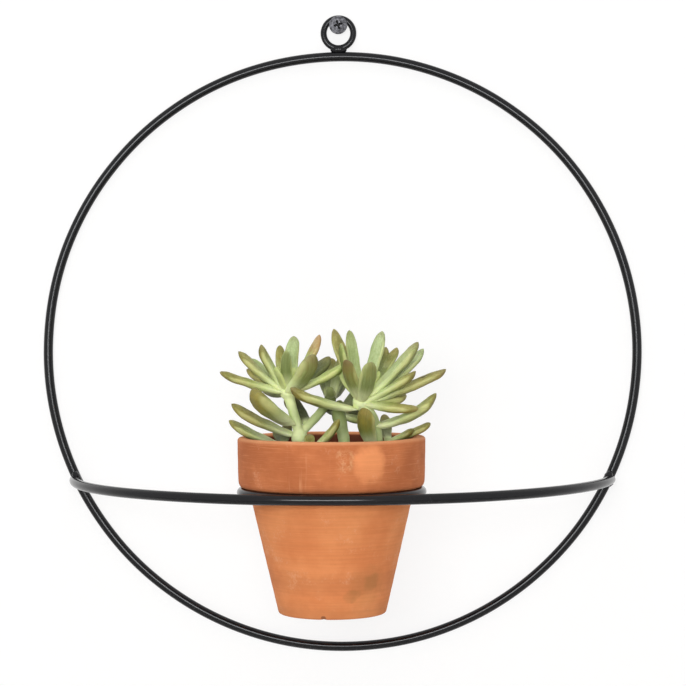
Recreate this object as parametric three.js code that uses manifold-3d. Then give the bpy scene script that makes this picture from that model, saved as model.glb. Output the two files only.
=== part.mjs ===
// A wall planter. A hoop of round bar hangs flat on the wall from one screw, a half-round bow stands out
// level from the hoop, and a ring inside the bow carries a clay pot of succulents by its rim.
// Millimetres: +Z is up, +X is to the right as seen from the room, and +Y goes into the wall. The origin
// is the point where the screw's axis meets the wall.

import * as THREE from "three";
import { mergeVertices } from "three/addons/utils/BufferGeometryUtils.js";
import Module from "manifold-3d";

const wasm = await Module();
wasm.setup();

// ---- Driving dimensions ----

// Fits.
const seatGap = 0.3; // left between two pieces that touch
const ringPlay = 0.9; // between the pot's body and the ring, all round
const mergeDistance = 0.0005; // points nearer than this are one point

// Bars of the frame.
const barDiameter = 5.6;
const hoopDiameter = 356; // over the bar
const bowDrop = 75.5; // the hoop's centre down to the bow's level
const bowReach = 143; // the wall to the centre of the bow's foremost bar
const bowOverhang = 1.2; // how far the bow's ends stand out past the middle of the hoop's bar

// Eyelet.
const eyeletWire = 3.7;
const eyeletBore = 13.9;

// Weld beads.
const eyeletBeadLength = 9.6;
const eyeletBeadSwell = 0.75; // how far it stands out past the eyelet's wire
const bowBeadSwell = 0.6; // how far it stands out past the bar
const bowBeadShift = 0.9; // how far it sits inwards and up from the bow's end, in the corner there
const ringBeadLength = 14;
const ringBeadDip = 0.5; // how far it lies back from the bars' surface

// Screw.
const screwMajor = 4.2;
const screwCore = 3;
const screwInWall = 33; // the wall to the tip
const screwPoint = 7;
const screwRunout = 1.2; // the cone where the full shank drops to the core
const screwHeadDiameter = 10.8;
const screwHeadHeight = 2.5;
const screwHeadEdge = 0.7; // the straight edge under the dome
const recessSpan = 5.8;
const recessSlot = 1.1;
const recessDepth = 1.7;
const recessTurn = 20; // degrees

// Pot.
const potHeight = 97.3;
const rimHeight = 27.6;
const bodyTopDiameter = 91.8; // just under the rim
const rimOverhang = 5.5; // how far the rim's foot stands out past the body, all round
const rimFlare = 0.5; // how much further its top stands out
const rimWall = 6;
const bodyFootDiameter = 59.2;
const bodyWall = 5;
const potFloor = 7;
const drainHole = 12;
const rimEdge = 2; // radius of the rim's upper edges
const ledgeEdge = 4; // radius of the rim's lower edge
const footEdge = 2.4;

// Soil, below the rim's top edge.
const soilDrop = 15;
const soilCrown = 4.5; // how much higher the soil is in the middle than at the wall
const stemDepth = 9; // how deep a stem stands in the soil

// Plants. Leaf lengths and widths are shares of the longest leaf, and the places, stems and hearts are
// shares of the radius of the pot's mouth.
const longestLeaf = 50;

// A leaf's shape, as shares of its length, or of half its width.
const leafWidestAt = 0.62; // of its length
const leafFoot = 0.42; // half the width at the foot
const leafUpperFace = 0.52; // rise of the upper face
const leafLowerFace = 0.84; // belly of the lower face
const leafSag = 0.0275; // how far the middle sags below the line from foot to tip, of its length
const leafPoint = 0.55; // 0.5 is a round tip, 1 a sharper one
const leafTilt = 0.3; // how far the upper faces turn to the room, as a share of how far they look up
const fanTaper = 0.9; // length and lean of every other leaf in a fan

// Faces round each kind of round shape, and steps along it.
const barSides = 10;
const hoopSteps = 84;
const bowSteps = 40;
const ringSteps = 44;
const eyeletSides = 8;
const eyeletSteps = 26;
const beadSides = 10;
const beadRings = 8;
const screwSides = 18;
const domeSteps = 5;
const potSides = 44;
const edgeSteps = 3;
const crownSteps = 3;
const stemSides = 6;
const stemSteps = 4;
const heartSides = 6;
const heartRings = 4;
const leafSides = 8;
const leafRings = [0, 0.28, 0.6, 0.84, 0.965, 1];

// ---- Places that follow from them ----

const barRadius = barDiameter / 2;
const hoopRadius = (hoopDiameter - barDiameter) / 2; // to the bar's centre
const eyeletRadius = (eyeletBore + eyeletWire) / 2;
const screwRadius = screwMajor / 2;
const bodyTop = bodyTopDiameter / 2;
const bodyFoot = bodyFootDiameter / 2;
const rimFoot = bodyTop + rimOverhang;
const rimTop = rimFoot + rimFlare;
const mouthRadius = rimTop - rimWall;

// The eyelet hangs on the screw, and the hoop hangs under the eyelet, both in one plane.
const framePlane = -barRadius - seatGap;
const eyeletDrop = eyeletBore / 2 - screwRadius - seatGap;
const hoopDrop = eyeletDrop + eyeletRadius + eyeletWire / 2 + seatGap + hoopDiameter / 2;

// The bow's arc ends in front of the bar of the hoop.
const bowLevel = -hoopDrop - bowDrop;
const hoopHalfChord = Math.sqrt(hoopRadius ** 2 - bowDrop ** 2);
const bowHalfChord = hoopHalfChord + bowOverhang;
const bowEnd = framePlane - barRadius - seatGap;
const bowDepth = bowReach + bowEnd;
const bowRadius = (bowHalfChord ** 2 + bowDepth ** 2) / (2 * bowDepth);
const bowHalfAngle = Math.acos((bowRadius - bowDepth) / bowRadius);

// The ring touches the bow from inside.
const ringRadius = bodyTop + ringPlay + barRadius;
const ringTouch = barDiameter + seatGap;
const ringPlane = -(bowReach - ringTouch - ringRadius);

// The rounded lower edge of the pot's rim rests on the ring's bar: two round sections that touch.
const seatSpan = barRadius + ledgeEdge + seatGap;
const seatOffset = Math.max(0, ringRadius - (rimFoot - ledgeEdge));
const ledgeLevel = bowLevel - ledgeEdge + Math.sqrt(seatSpan ** 2 - seatOffset ** 2);
const rimLevel = ledgeLevel + rimHeight;
const footLevel = rimLevel - potHeight;
const floorLevel = footLevel + potFloor;
const soilLevel = rimLevel - soilDrop;

// ---- Colours ----

const finishes = {
  blackCoat: { color: 0x161618, roughness: 0.35, metalness: 0.1 },
  screwSteel: { color: 0x55565a, roughness: 0.45, metalness: 0.8 },
  clay: { color: 0xcf7a4c, roughness: 0.9, metalness: 0 },
  soil: { color: 0x35251c, roughness: 1, metalness: 0 },
  leaf: { color: 0x9fae68, roughness: 0.6, metalness: 0 },
};

// ---- Tools ----

const degrees = THREE.MathUtils.degToRad;
const vector = (x, y, z) => new THREE.Vector3(x, y, z);

// Turns a closed geometry into a solid that can be joined and cut.
function solidOf(geometry) {
  geometry.deleteAttribute("normal");
  geometry.deleteAttribute("uv");
  const merged = mergeVertices(geometry, mergeDistance);
  const corners = merged.index.array;
  const faces = [];
  for (let i = 0; i < corners.length; i += 3) {
    const [a, b, c] = corners.subarray(i, i + 3);
    if (a !== b && b !== c && c !== a) faces.push(a, b, c);
  }
  return new wasm.Manifold(new wasm.Mesh({
    numProp: 3,
    vertProperties: merged.attributes.position.array,
    triVerts: new Uint32Array(faces),
  }));
}

// Gives a solid its name and its finish.
function meshOf(name, solid, finish) {
  const { vertProperties, triVerts } = solid.getMesh();
  const geometry = new THREE.BufferGeometry();
  geometry.setAttribute("position", new THREE.BufferAttribute(vertProperties, 3));
  geometry.setIndex(new THREE.BufferAttribute(triVerts, 1));
  geometry.computeVertexNormals();
  const mesh = new THREE.Mesh(geometry, new THREE.MeshStandardMaterial(finish));
  mesh.name = name;
  return mesh;
}

function joined(solids) {
  return solids.reduce((whole, solid) => whole.add(solid));
}

// A ring of round bar whose axis is Z.
function ringGeometry(radius, bar, sides, steps) {
  return new THREE.TorusGeometry(radius, bar, sides, steps);
}

// A round bar along a curve. A full circle takes two sides for each of its curve's segments.
function barAlong(curve, radius, sides, steps) {
  const section = new THREE.Shape();
  section.absarc(0, 0, radius, 0, 2 * Math.PI);
  return new THREE.ExtrudeGeometry(section, {
    curveSegments: sides / 2,
    steps,
    bevelEnabled: false,
    extrudePath: curve,
  });
}

// A profile of [radius, height] points turned round the Z axis.
function turned(profile, sides) {
  const points = profile.map(([radius, height]) => new THREE.Vector2(radius, height));
  return new THREE.LatheGeometry(points, sides).rotateX(Math.PI / 2);
}

// Points of a rounded edge, as [radius, height], from one angle to another in degrees.
function roundedEdge(radius, height, edge, from, to) {
  const points = [];
  for (let step = 0; step <= edgeSteps; step += 1) {
    const angle = degrees(from + (step / edgeSteps) * (to - from));
    points.push([radius + edge * Math.cos(angle), height + edge * Math.sin(angle)]);
  }
  return points;
}

// A weld bead, as long as it says along X and round across it.
function beadSolid(length, radius, x, y, z) {
  const bead = new THREE.SphereGeometry(radius, beadSides, beadRings);
  return solidOf(bead.scale(length / 2 / radius, 1, 1).translate(x, y, z));
}

// ---- Frame, about the hoop's plane below the origin ----

// The bow's middle line: an arc in the level plane, from its left end round the front to its right end.
class BowCurve extends THREE.Curve {
  getPoint(share, target = new THREE.Vector3()) {
    const angle = (2 * share - 1) * bowHalfAngle;
    const x = bowRadius * Math.sin(angle);
    const y = -bowReach + bowRadius * (1 - Math.cos(angle));
    return target.set(x, y, bowLevel);
  }
}

function hoopBar(radius) {
  const ring = ringGeometry(hoopRadius, radius, barSides, hoopSteps);
  return solidOf(ring.rotateX(Math.PI / 2).translate(0, framePlane, -hoopDrop));
}

function eyeletLoop(radius) {
  const ring = ringGeometry(eyeletRadius, radius, eyeletSides, eyeletSteps);
  return solidOf(ring.rotateX(Math.PI / 2).translate(0, framePlane, -eyeletDrop));
}

function bowBar(radius) {
  return solidOf(barAlong(new BowCurve(), radius, barSides, bowSteps));
}

// The eyelet, with the bead round its foot that saddles the hoop.
function eyeletSolid() {
  const wire = eyeletWire / 2;
  const bead = beadSolid(
    eyeletBeadLength,
    wire + eyeletBeadSwell,
    0,
    framePlane,
    -eyeletDrop - eyeletRadius - eyeletBeadSwell / 2,
  );
  return eyeletLoop(wire).add(bead).subtract(hoopBar(barRadius + seatGap));
}

// The bow, with a bead in the upper inner corner at each end that fits round the hoop.
function bowSolid() {
  const radius = barRadius + bowBeadSwell;
  const beads = [-1, 1].map((side) => {
    const across = side * (hoopHalfChord - bowBeadShift);
    return beadSolid(2 * radius, radius, across, bowEnd, bowLevel + bowBeadShift);
  });
  return joined([bowBar(barRadius), ...beads]).subtract(hoopBar(barRadius + seatGap));
}

// The pot ring, with the bead that holds it to the bow's foremost point.
function potRingSolid() {
  const ring = ringGeometry(ringRadius, barRadius, barSides, ringSteps);
  const touch = -bowReach + ringTouch / 2;
  return solidOf(ring.rotateZ(-Math.PI / 2).translate(0, ringPlane, bowLevel))
    .add(beadSolid(ringBeadLength, barRadius - ringBeadDip, 0, touch, bowLevel))
    .subtract(bowBar(barRadius + seatGap));
}

// ---- Screw ----

// The screw along Z with its point at the top, laid over into the wall afterwards.
function screwSolid() {
  const seat = -(framePlane - eyeletWire / 2 - seatGap);
  const headRadius = screwHeadDiameter / 2;
  const domeHeight = screwHeadHeight - screwHeadEdge;
  const domeRadius = (headRadius ** 2 + domeHeight ** 2) / (2 * domeHeight);
  const domeAngle = Math.asin(headRadius / domeRadius);
  const profile = [];
  for (let step = 0; step <= domeSteps; step += 1) {
    const angle = (step / domeSteps) * domeAngle;
    const height = -seat - screwHeadHeight + domeRadius * (1 - Math.cos(angle));
    profile.push([domeRadius * Math.sin(angle), height]);
  }
  profile[0][0] = 0;
  profile.push(
    [headRadius, -seat],
    [screwRadius, -seat],
    [screwRadius, 0],
    [screwCore / 2, screwRunout],
    [screwCore / 2, screwInWall - screwPoint],
    [0, screwInWall],
  );
  const slots = [0, 90].map((turn) => solidOf(
    new THREE.BoxGeometry(recessSpan, recessSlot, 2 * recessDepth)
      .rotateZ(degrees(turn + recessTurn))
      .translate(0, 0, -seat - screwHeadHeight),
  ));
  const upright = solidOf(turned(profile, screwSides)).subtract(joined(slots));
  return upright.rotate([-90, 0, 0]);
}

// ---- Pot and soil, about the pot's own axis, with Z = 0 at the rim's top edge ----

const depthBelowRim = (level) => level - rimLevel;

// The inner wall's radius at a level below the rim.
function innerRadius(level) {
  const ledge = depthBelowRim(ledgeLevel);
  const floor = depthBelowRim(floorLevel);
  const middle = bodyTop - bodyWall;
  const foot = bodyFoot - bodyWall;
  if (level > ledge) return THREE.MathUtils.mapLinear(level, 0, ledge, mouthRadius, middle);
  return THREE.MathUtils.mapLinear(level, ledge, floor, middle, foot);
}

function potSolid() {
  const ledge = depthBelowRim(ledgeLevel);
  const foot = depthBelowRim(footLevel);
  const floor = depthBelowRim(floorLevel);
  const taper = THREE.MathUtils.radToDeg(Math.atan2(bodyTop - bodyFoot, ledge - foot));
  const profile = [
    [drainHole / 2, foot],
    ...roundedEdge(bodyFoot - footEdge, foot + footEdge, footEdge, -90, -taper),
    [bodyTop, ledge],
    ...roundedEdge(rimFoot - ledgeEdge, ledge + ledgeEdge, ledgeEdge, -90, 0),
    ...roundedEdge(rimTop - rimEdge, -rimEdge, rimEdge, 0, 90),
    ...roundedEdge(mouthRadius + rimEdge, -rimEdge, rimEdge, 90, 180),
    [innerRadius(ledge), ledge],
    [innerRadius(floor), floor],
    [drainHole / 2, floor],
    [drainHole / 2, foot],
  ];
  return solidOf(turned(profile, potSides));
}

// The soil fills the pot, crowned in the middle, and leaves each stem its socket.
function soilSolid(sockets) {
  const top = depthBelowRim(soilLevel);
  const ledge = depthBelowRim(ledgeLevel);
  const floor = depthBelowRim(floorLevel) + seatGap;
  const wallRadius = (level) => innerRadius(level) - seatGap;
  const profile = [[0, floor], [wallRadius(floor), floor], [wallRadius(ledge), ledge]];
  for (let step = 0; step <= crownSteps; step += 1) {
    const share = 1 - step / crownSteps;
    profile.push([wallRadius(top) * share, top + soilCrown * (1 - share ** 2)]);
  }
  return sockets.reduce((soil, socket) => soil.subtract(socket), solidOf(turned(profile, potSides)));
}

// ---- Plants, in the pot's frame: X right, Y towards the wall, Z above the rim's top edge ----

// A place in or over the pot, as shares of the radius of its mouth.
const spot = (right, back, up) => vector(right, back, up).multiplyScalar(mouthRadius);

// A place where a stem is rooted in the soil.
const root = (right, back) => spot(right, back, 0).setZ(-soilDrop - stemDepth);

// Half the leaf's width at a share of its length, as a share of its greatest half width.
function leafOutline(share) {
  if (share < leafWidestAt) {
    return leafFoot + (1 - leafFoot) * Math.sin((Math.PI / 2) * (share / leafWidestAt));
  }
  const beyond = (share - leafWidestAt) / (1 - leafWidestAt);
  return (1 - beyond ** 2) ** leafPoint;
}

// The way a leaf points: turn is in degrees round from the right in the plane of the wall, and lean is in
// degrees towards the room.
function leafWay(turn, lean) {
  const flat = Math.cos(degrees(lean));
  return vector(flat * Math.cos(degrees(turn)), -Math.sin(degrees(lean)), flat * Math.sin(degrees(turn)));
}

// One fleshy leaf from its foot: widest past its middle, flat above, round below, and sagging so that its
// tip turns up again towards the heart of its rosette. The sag's curve, four times share less its square,
// is one at the leaf's middle and nothing at its ends.
function leafSolid(foot, [turn, lean, lengthShare, widthShare]) {
  const length = lengthShare * longestLeaf;
  const halfWidth = (widthShare * longestLeaf) / 2;
  const way = leafWay(turn, lean);
  const skyward = vector(0, -leafTilt, 1).normalize();
  const face = skyward.clone().addScaledVector(way, -skyward.dot(way)).normalize();
  const side = way.clone().cross(face);
  const outline = leafRings.map((share) => [halfWidth * leafOutline(share), share * length]);
  const profile = [[0, 0], ...outline];
  profile[profile.length - 1][0] = 0;
  const points = profile.map(([radius, height]) => new THREE.Vector2(radius, height));
  const geometry = new THREE.LatheGeometry(points, leafSides);
  const position = geometry.attributes.position;
  for (let i = 0; i < position.count; i += 1) {
    const share = position.getY(i) / length;
    const flesh = position.getZ(i) * (position.getZ(i) > 0 ? leafUpperFace : leafLowerFace);
    position.setZ(i, flesh - leafSag * length * 4 * (share - share ** 2));
  }
  const place = new THREE.Matrix4().makeBasis(side, way, face).setPosition(foot);
  return solidOf(geometry.applyMatrix4(place));
}

function stemSolid(points, radius) {
  const curve = new THREE.CatmullRomCurve3(points);
  return solidOf(barAlong(curve, radius, stemSides, stemSteps));
}

// The knot of flesh that a rosette's leaves grow from.
function heartSolid(place, radius) {
  const ball = new THREE.SphereGeometry(radius, heartSides, heartRings);
  return solidOf(ball.translate(place.x, place.y, place.z));
}

// A shoot is a set of stems, the hearts at their heads, and leaves. A leaf's row is its turn and lean, as
// leafWay has them, its length and its width.
function shootSolid({ stems, heads, leaves }) {
  const parts = stems.map(({ points, radius }) => stemSolid(points, radius * mouthRadius));
  for (const { place, radius } of heads) parts.push(heartSolid(place, radius * mouthRadius));
  for (const { foot, rows } of leaves) {
    for (const row of rows) parts.push(leafSolid(foot, row));
  }
  return joined(parts);
}

// The sockets that a shoot's rooted stems need in the soil.
function socketsOf({ stems }) {
  return stems.filter(({ rooted }) => rooted)
    .map(({ points, radius }) => stemSolid(points, radius * mouthRadius + seatGap));
}

// The leaves at the back of a rosette, fanned evenly towards the wall.
function backFan(from, to, count, lean, length, width) {
  const rows = [];
  for (let n = 0; n < count; n += 1) {
    const share = n / (count - 1);
    const alternate = n % 2 === 0 ? 1 : fanTaper;
    rows.push([from + share * (to - from), lean * alternate, length * alternate, width]);
  }
  return rows;
}

const leftHeart = spot(-0.501, -0.283, 0.545);
const middleHeart = spot(-0.022, 0.109, 0.436);
const rightHeart = spot(0.37, -0.305, 0.425);

const leftFork = spot(-0.37, -0.24, 0.044);
const leftShoot = {
  stems: [
    {
      points: [
        root(-0.327, -0.196),
        spot(-0.37, -0.218, -0.174),
        leftFork,
      ],
      radius: 0.074,
      rooted: true,
    },
    { points: [leftFork, spot(-0.425, -0.261, 0.261), leftHeart], radius: 0.057 },
    { points: [leftFork, spot(-0.174, -0.087, 0.24), middleHeart], radius: 0.05 },
  ],
  heads: [
    { place: leftHeart, radius: 0.092 },
    { place: leftFork, radius: 0.083 },
    { place: middleHeart, radius: 0.074 },
  ],
  leaves: [
    {
      foot: leftHeart,
      rows: [
        [139, 5, 0.7, 0.15],
        [141, -24, 0.62, 0.14],
        [119, 10, 0.6, 0.15],
        [103, -22, 0.56, 0.13],
        [91, 28, 0.52, 0.12],
        [86, -15, 0.64, 0.16],
        [162, 15, 0.78, 0.15],
        [153, -32, 0.64, 0.14],
        [54, 38, 0.62, 0.22],
        [61, -6, 0.72, 0.13],
        [40, -30, 0.68, 0.18],
        [26, 6, 0.72, 0.15],
        ...backFan(70, 175, 4, -58, 0.54, 0.15),
      ],
    },
    { foot: spot(-0.436, -0.261, 0.174), rows: [[138, 33, 0.66, 0.25]] },
    { foot: spot(-0.392, -0.218, 0.022), rows: [[155, -6, 0.82, 0.16]] },
    { foot: spot(-0.261, -0.131, 0.153), rows: [[129, -30, 0.48, 0.18]] },
    {
      foot: middleHeart,
      rows: [
        [67, -22, 0.52, 0.14],
        [88, -30, 0.54, 0.14],
        [76, -8, 0.54, 0.13],
        [110, -48, 0.5, 0.14],
        [60, -58, 0.52, 0.14],
      ],
    },
  ],
};

const rightShoot = {
  stems: [
    {
      points: [
        root(0.545, -0.174),
        spot(0.566, -0.24, -0.087),
        spot(0.523, -0.283, 0.196),
        rightHeart,
      ],
      radius: 0.061,
      rooted: true,
    },
  ],
  heads: [{ place: rightHeart, radius: 0.1 }],
  leaves: [
    {
      foot: rightHeart,
      rows: [
        [112, -14, 0.88, 0.15],
        [98.5, -4, 0.8, 0.14],
        [106.5, 20, 0.72, 0.13],
        [105, 42, 0.66, 0.16],
        [74.5, -10, 0.82, 0.16],
        [64.5, -32, 0.78, 0.14],
        [56, -28, 0.8, 0.14],
        [46, 2, 0.91, 0.18],
        [40, -14, 0.92, 0.16],
        [74, 46, 0.66, 0.19],
        [29, 16, 0.72, 0.15],
        [21, -3, 1, 0.16],
        [8, -24, 0.54, 0.2],
        [-5, 22, 0.68, 0.16],
        ...backFan(15, 100, 4, -55, 0.6, 0.15),
      ],
    },
    { foot: spot(0.327, -0.344, 0.349), rows: [[161, 24, 0.82, 0.15]] },
    { foot: spot(0.534, -0.272, 0.131), rows: [[28, 10, 0.78, 0.17]] },
    { foot: spot(0.556, -0.251, -0.087), rows: [[110, 38, 0.52, 0.18]] },
  ],
};

const middleTop = spot(0.087, -0.044, 0.283);
const middleShoot = {
  stems: [
    {
      points: [
        root(0.174, -0.087),
        spot(0.163, -0.087, -0.087),
        middleTop,
      ],
      radius: 0.065,
      rooted: true,
    },
  ],
  heads: [{ place: middleTop, radius: 0.078 }],
  leaves: [
    {
      foot: middleTop,
      rows: [
        [48, -34, 0.54, 0.16],
        [12, -50, 0.52, 0.16],
        [-14, -18, 0.36, 0.14],
        [150, -62, 0.44, 0.14],
      ],
    },
  ],
};

const frontFoot = spot(-0.218, -0.501, -0.153);
const frontShoot = {
  stems: [
    {
      points: [
        root(-0.196, -0.523),
        spot(-0.218, -0.523, -0.261),
        frontFoot,
      ],
      radius: 0.044,
      rooted: true,
    },
  ],
  heads: [{ place: frontFoot, radius: 0.057 }],
  leaves: [
    {
      foot: frontFoot,
      rows: [
        [48, 8, 0.48, 0.14],
        [92, 12, 0.2, 0.11],
        [20, -35, 0.32, 0.12],
      ],
    },
  ],
};

const lowLeftFoot = spot(-0.588, -0.044, -0.109);
const lowLeftShoot = {
  stems: [
    {
      points: [
        root(-0.588, -0.044),
        spot(-0.588, -0.044, -0.305),
        lowLeftFoot,
      ],
      radius: 0.044,
      rooted: true,
    },
  ],
  heads: [{ place: lowLeftFoot, radius: 0.057 }],
  leaves: [
    {
      foot: lowLeftFoot,
      rows: [
        [154, 3, 0.66, 0.15],
        [80, -45, 0.36, 0.12],
        [120, -62, 0.4, 0.12],
      ],
    },
  ],
};

const lowRightFoot = spot(0.675, 0.174, -0.065);
const lowRightShoot = {
  stems: [
    {
      points: [
        root(0.675, 0.174),
        spot(0.675, 0.174, -0.305),
        lowRightFoot,
      ],
      radius: 0.044,
      rooted: true,
    },
  ],
  heads: [{ place: lowRightFoot, radius: 0.057 }],
  leaves: [
    {
      foot: lowRightFoot,
      rows: [
        [24, 6, 0.52, 0.13],
        [27, 28, 0.36, 0.12],
        [100, -50, 0.44, 0.13],
      ],
    },
  ],
};

const shoots = {
  shoot_left: leftShoot,
  shoot_right: rightShoot,
  shoot_middle: middleShoot,
  shoot_front: frontShoot,
  shoot_low_left: lowLeftShoot,
  shoot_low_right: lowRightShoot,
};

// ---- Assembly ----

const planter = new THREE.Group();
planter.add(meshOf("wall_screw", screwSolid(), finishes.screwSteel));

const hanger = new THREE.Group();
hanger.add(meshOf("hanging_eyelet", eyeletSolid(), finishes.blackCoat));
hanger.add(meshOf("hoop", hoopBar(barRadius), finishes.blackCoat));
hanger.add(meshOf("front_bow", bowSolid(), finishes.blackCoat));
hanger.add(meshOf("pot_ring", potRingSolid(), finishes.blackCoat));
planter.add(hanger);

const pottedPlant = new THREE.Group();
pottedPlant.position.set(0, ringPlane, rimLevel);
pottedPlant.add(meshOf("terracotta_pot", potSolid(), finishes.clay));
const sockets = Object.values(shoots).flatMap(socketsOf);
pottedPlant.add(meshOf("potting_soil", soilSolid(sockets), finishes.soil));
for (const [name, shoot] of Object.entries(shoots)) {
  pottedPlant.add(meshOf(name, shootSolid(shoot), finishes.leaf));
}
planter.add(pottedPlant);

export default planter;
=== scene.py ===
# %% [markdown]
# # A wall planter: wire hoop, clay pot and succulents
# The planter is a flat hoop of coated steel bar that hangs on one screw. A half-round bow stands out from
# it and carries a small ring, and the ring holds a clay pot of succulents by its rim. This lesson builds
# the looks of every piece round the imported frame, in metres: +Z is up and the wall is the plane y = 0.

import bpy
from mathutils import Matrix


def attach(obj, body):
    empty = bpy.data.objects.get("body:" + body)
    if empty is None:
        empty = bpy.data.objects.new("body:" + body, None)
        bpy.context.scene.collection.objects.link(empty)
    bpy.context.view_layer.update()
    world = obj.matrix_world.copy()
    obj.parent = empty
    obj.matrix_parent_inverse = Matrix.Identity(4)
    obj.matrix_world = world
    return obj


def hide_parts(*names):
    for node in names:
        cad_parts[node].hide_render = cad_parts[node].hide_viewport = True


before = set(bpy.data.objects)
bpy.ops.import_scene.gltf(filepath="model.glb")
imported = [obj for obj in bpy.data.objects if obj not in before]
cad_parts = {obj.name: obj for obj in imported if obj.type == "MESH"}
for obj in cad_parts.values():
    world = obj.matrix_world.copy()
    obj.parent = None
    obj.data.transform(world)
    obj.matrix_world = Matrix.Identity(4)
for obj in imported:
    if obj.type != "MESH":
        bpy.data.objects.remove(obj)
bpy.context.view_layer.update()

# %% Modules and units
import math

import bmesh
import bpy
import numpy as np
from mathutils import Matrix, Vector

MM = 0.001
FULL_TURN = 2 * math.pi
print("A millimetre is", MM, "of the scene's metres")

# %% [markdown]
# ## Writing node trees as sums
# A material or a Geometry Nodes tree is a web of small nodes. Written out one link at a time it is hard to
# read, so a wrapped socket stands for its value: adding or multiplying two of them adds a Math node. Every
# other kind of node comes from one method, which sets the node's own settings first and its inputs next.
# Colours are written as a screen shows them, with red, green and blue from 0 to 255.


# %% Wrapped sockets
def joined_by(operation):
    """A method that joins a wire and another value in one Math node."""
    return lambda wire, other: wire.math(operation, other)


class Wire:
    """The output of a node, as a value that sums can be written with."""

    def __init__(self, graph, socket):
        self.graph = graph
        self.socket = socket

    def __getitem__(self, name):
        """Another output of the same node."""
        return Wire(self.graph, self.socket.node.outputs[name])

    def math(self, operation, *others):
        return self.graph.calculate(operation, self, *others)

    def __rsub__(self, other):
        return self.graph.calculate("SUBTRACT", other, self)

    __add__ = __radd__ = joined_by("ADD")
    __mul__ = __rmul__ = joined_by("MULTIPLY")
    __sub__ = joined_by("SUBTRACT")
    __truediv__ = joined_by("DIVIDE")
    __pow__ = joined_by("POWER")

    def ramp(self, low, high):
        """0 below low, 1 above high and a smooth rise between them. It falls where low is above high."""
        inputs = {0: self, 1: low, 2: high, 3: 0.0, 4: 1.0}
        return self.graph.add("ShaderNodeMapRange", inputs, interpolation_type="SMOOTHSTEP", clamp=True)


def srgb(red, green, blue):
    """A colour as it looks on a screen, from 0 to 255, in the scene's own linear light."""
    shares = [value / 255 for value in (red, green, blue)]
    return tuple(v / 12.92 if v <= 0.04045 else ((v + 0.055) / 1.055) ** 2.4 for v in shares)


print("Olive brown in linear light:", [round(v, 3) for v in srgb(133, 128, 61)])


# %% Adding nodes
class Graph:
    """Adds nodes to one tree."""

    def __init__(self, tree):
        self.tree = tree

    def add(self, kind, inputs=None, **settings):
        """Adds a node, its settings first and then its inputs by number or name, and gives its output."""
        node = self.tree.nodes.new(kind)
        for name, value in settings.items():
            setattr(node, name, value)
        for key, value in (inputs or {}).items():
            self._set_input(node, key, value)
        live = [s for s in node.outputs if not s.is_unavailable]
        return Wire(self, live[0]) if live else node

    def _set_input(self, node, key, value):
        live = [s for s in node.inputs if not s.is_unavailable]
        socket = live[key] if isinstance(key, int) else next(s for s in live if s.name == key)
        if isinstance(value, Wire):
            self.tree.links.new(value.socket, socket)
        elif isinstance(value, tuple) and socket.type == "RGBA" and len(value) == 3:
            socket.default_value = (*value, 1.0)
        else:
            socket.default_value = value

    def calculate(self, operation, *values):
        return self.add("ShaderNodeMath", dict(enumerate(values)), operation=operation)

    def vector(self, x, y, z):
        return self.add("ShaderNodeCombineXYZ", {0: x, 1: y, 2: z})

    def parts(self, vector):
        return self.add("ShaderNodeSeparateXYZ", {0: vector})

    def vector_math(self, operation, *values):
        return self.add("ShaderNodeVectorMath", dict(enumerate(values)), operation=operation)

    def noise(self, place, scale, detail=2.0, roughness=0.5):
        inputs = {"Vector": place, "Scale": scale, "Detail": detail, "Roughness": roughness}
        return self.add("ShaderNodeTexNoise", inputs)

    def mix(self, share, first, second):
        """A colour between two others, each a wire or a screen colour."""
        first, second = (c if isinstance(c, Wire) else srgb(*c) for c in (first, second))
        inputs = {0: share, 1: first, 2: second}
        return self.add("ShaderNodeMix", inputs, data_type="RGBA", clamp_factor=True)

    def layers(self, colour, *rows):
        """The colour with each row, a share and a colour, laid over the ones before it."""
        for share, over in rows:
            colour = self.mix(share, colour, over)
        return colour

    def bump(self, height, distance, strength):
        inputs = {"Strength": strength, "Distance": distance, "Height": height}
        return self.add("ShaderNodeBump", inputs)


print("Wrapped sockets are ready")


# %% Starting and ending a finish
def new_finish(name):
    """A new material's empty graph, and the place of each point on the piece, in metres."""
    material = bpy.data.materials.new(name)
    material.use_nodes = True
    material.node_tree.nodes.clear()
    graph = Graph(material.node_tree)
    graph.material = material
    return graph, graph.add("ShaderNodeTexCoord")["Object"]


def end_finish(graph, surface):
    graph.add("ShaderNodeOutputMaterial", {"Surface": surface})
    print(f"Finish {graph.material.name}: {len(graph.tree.nodes)} nodes")
    return graph.material


def dress(graph, **inputs):
    """Ends a finish in one Principled shader. Underscores stand for the spaces in its sockets' names."""
    named = {name.replace("_", " "): value for name, value in inputs.items()}
    return end_finish(graph, graph.add("ShaderNodeBsdfPrincipled", named))


print("A finish starts with new_finish and ends with dress")

# %% [markdown]
# ## Sizes
# The looks must fit the frame to a fraction of a millimetre, or a bar would hang in the air or cut through
# the pot. Sizes could be typed wherever they are needed, but one slip would then go unseen, so each is
# written once, under a name: the bars, the hoop on its screw, the bow's level and the pot in its ring.

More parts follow.
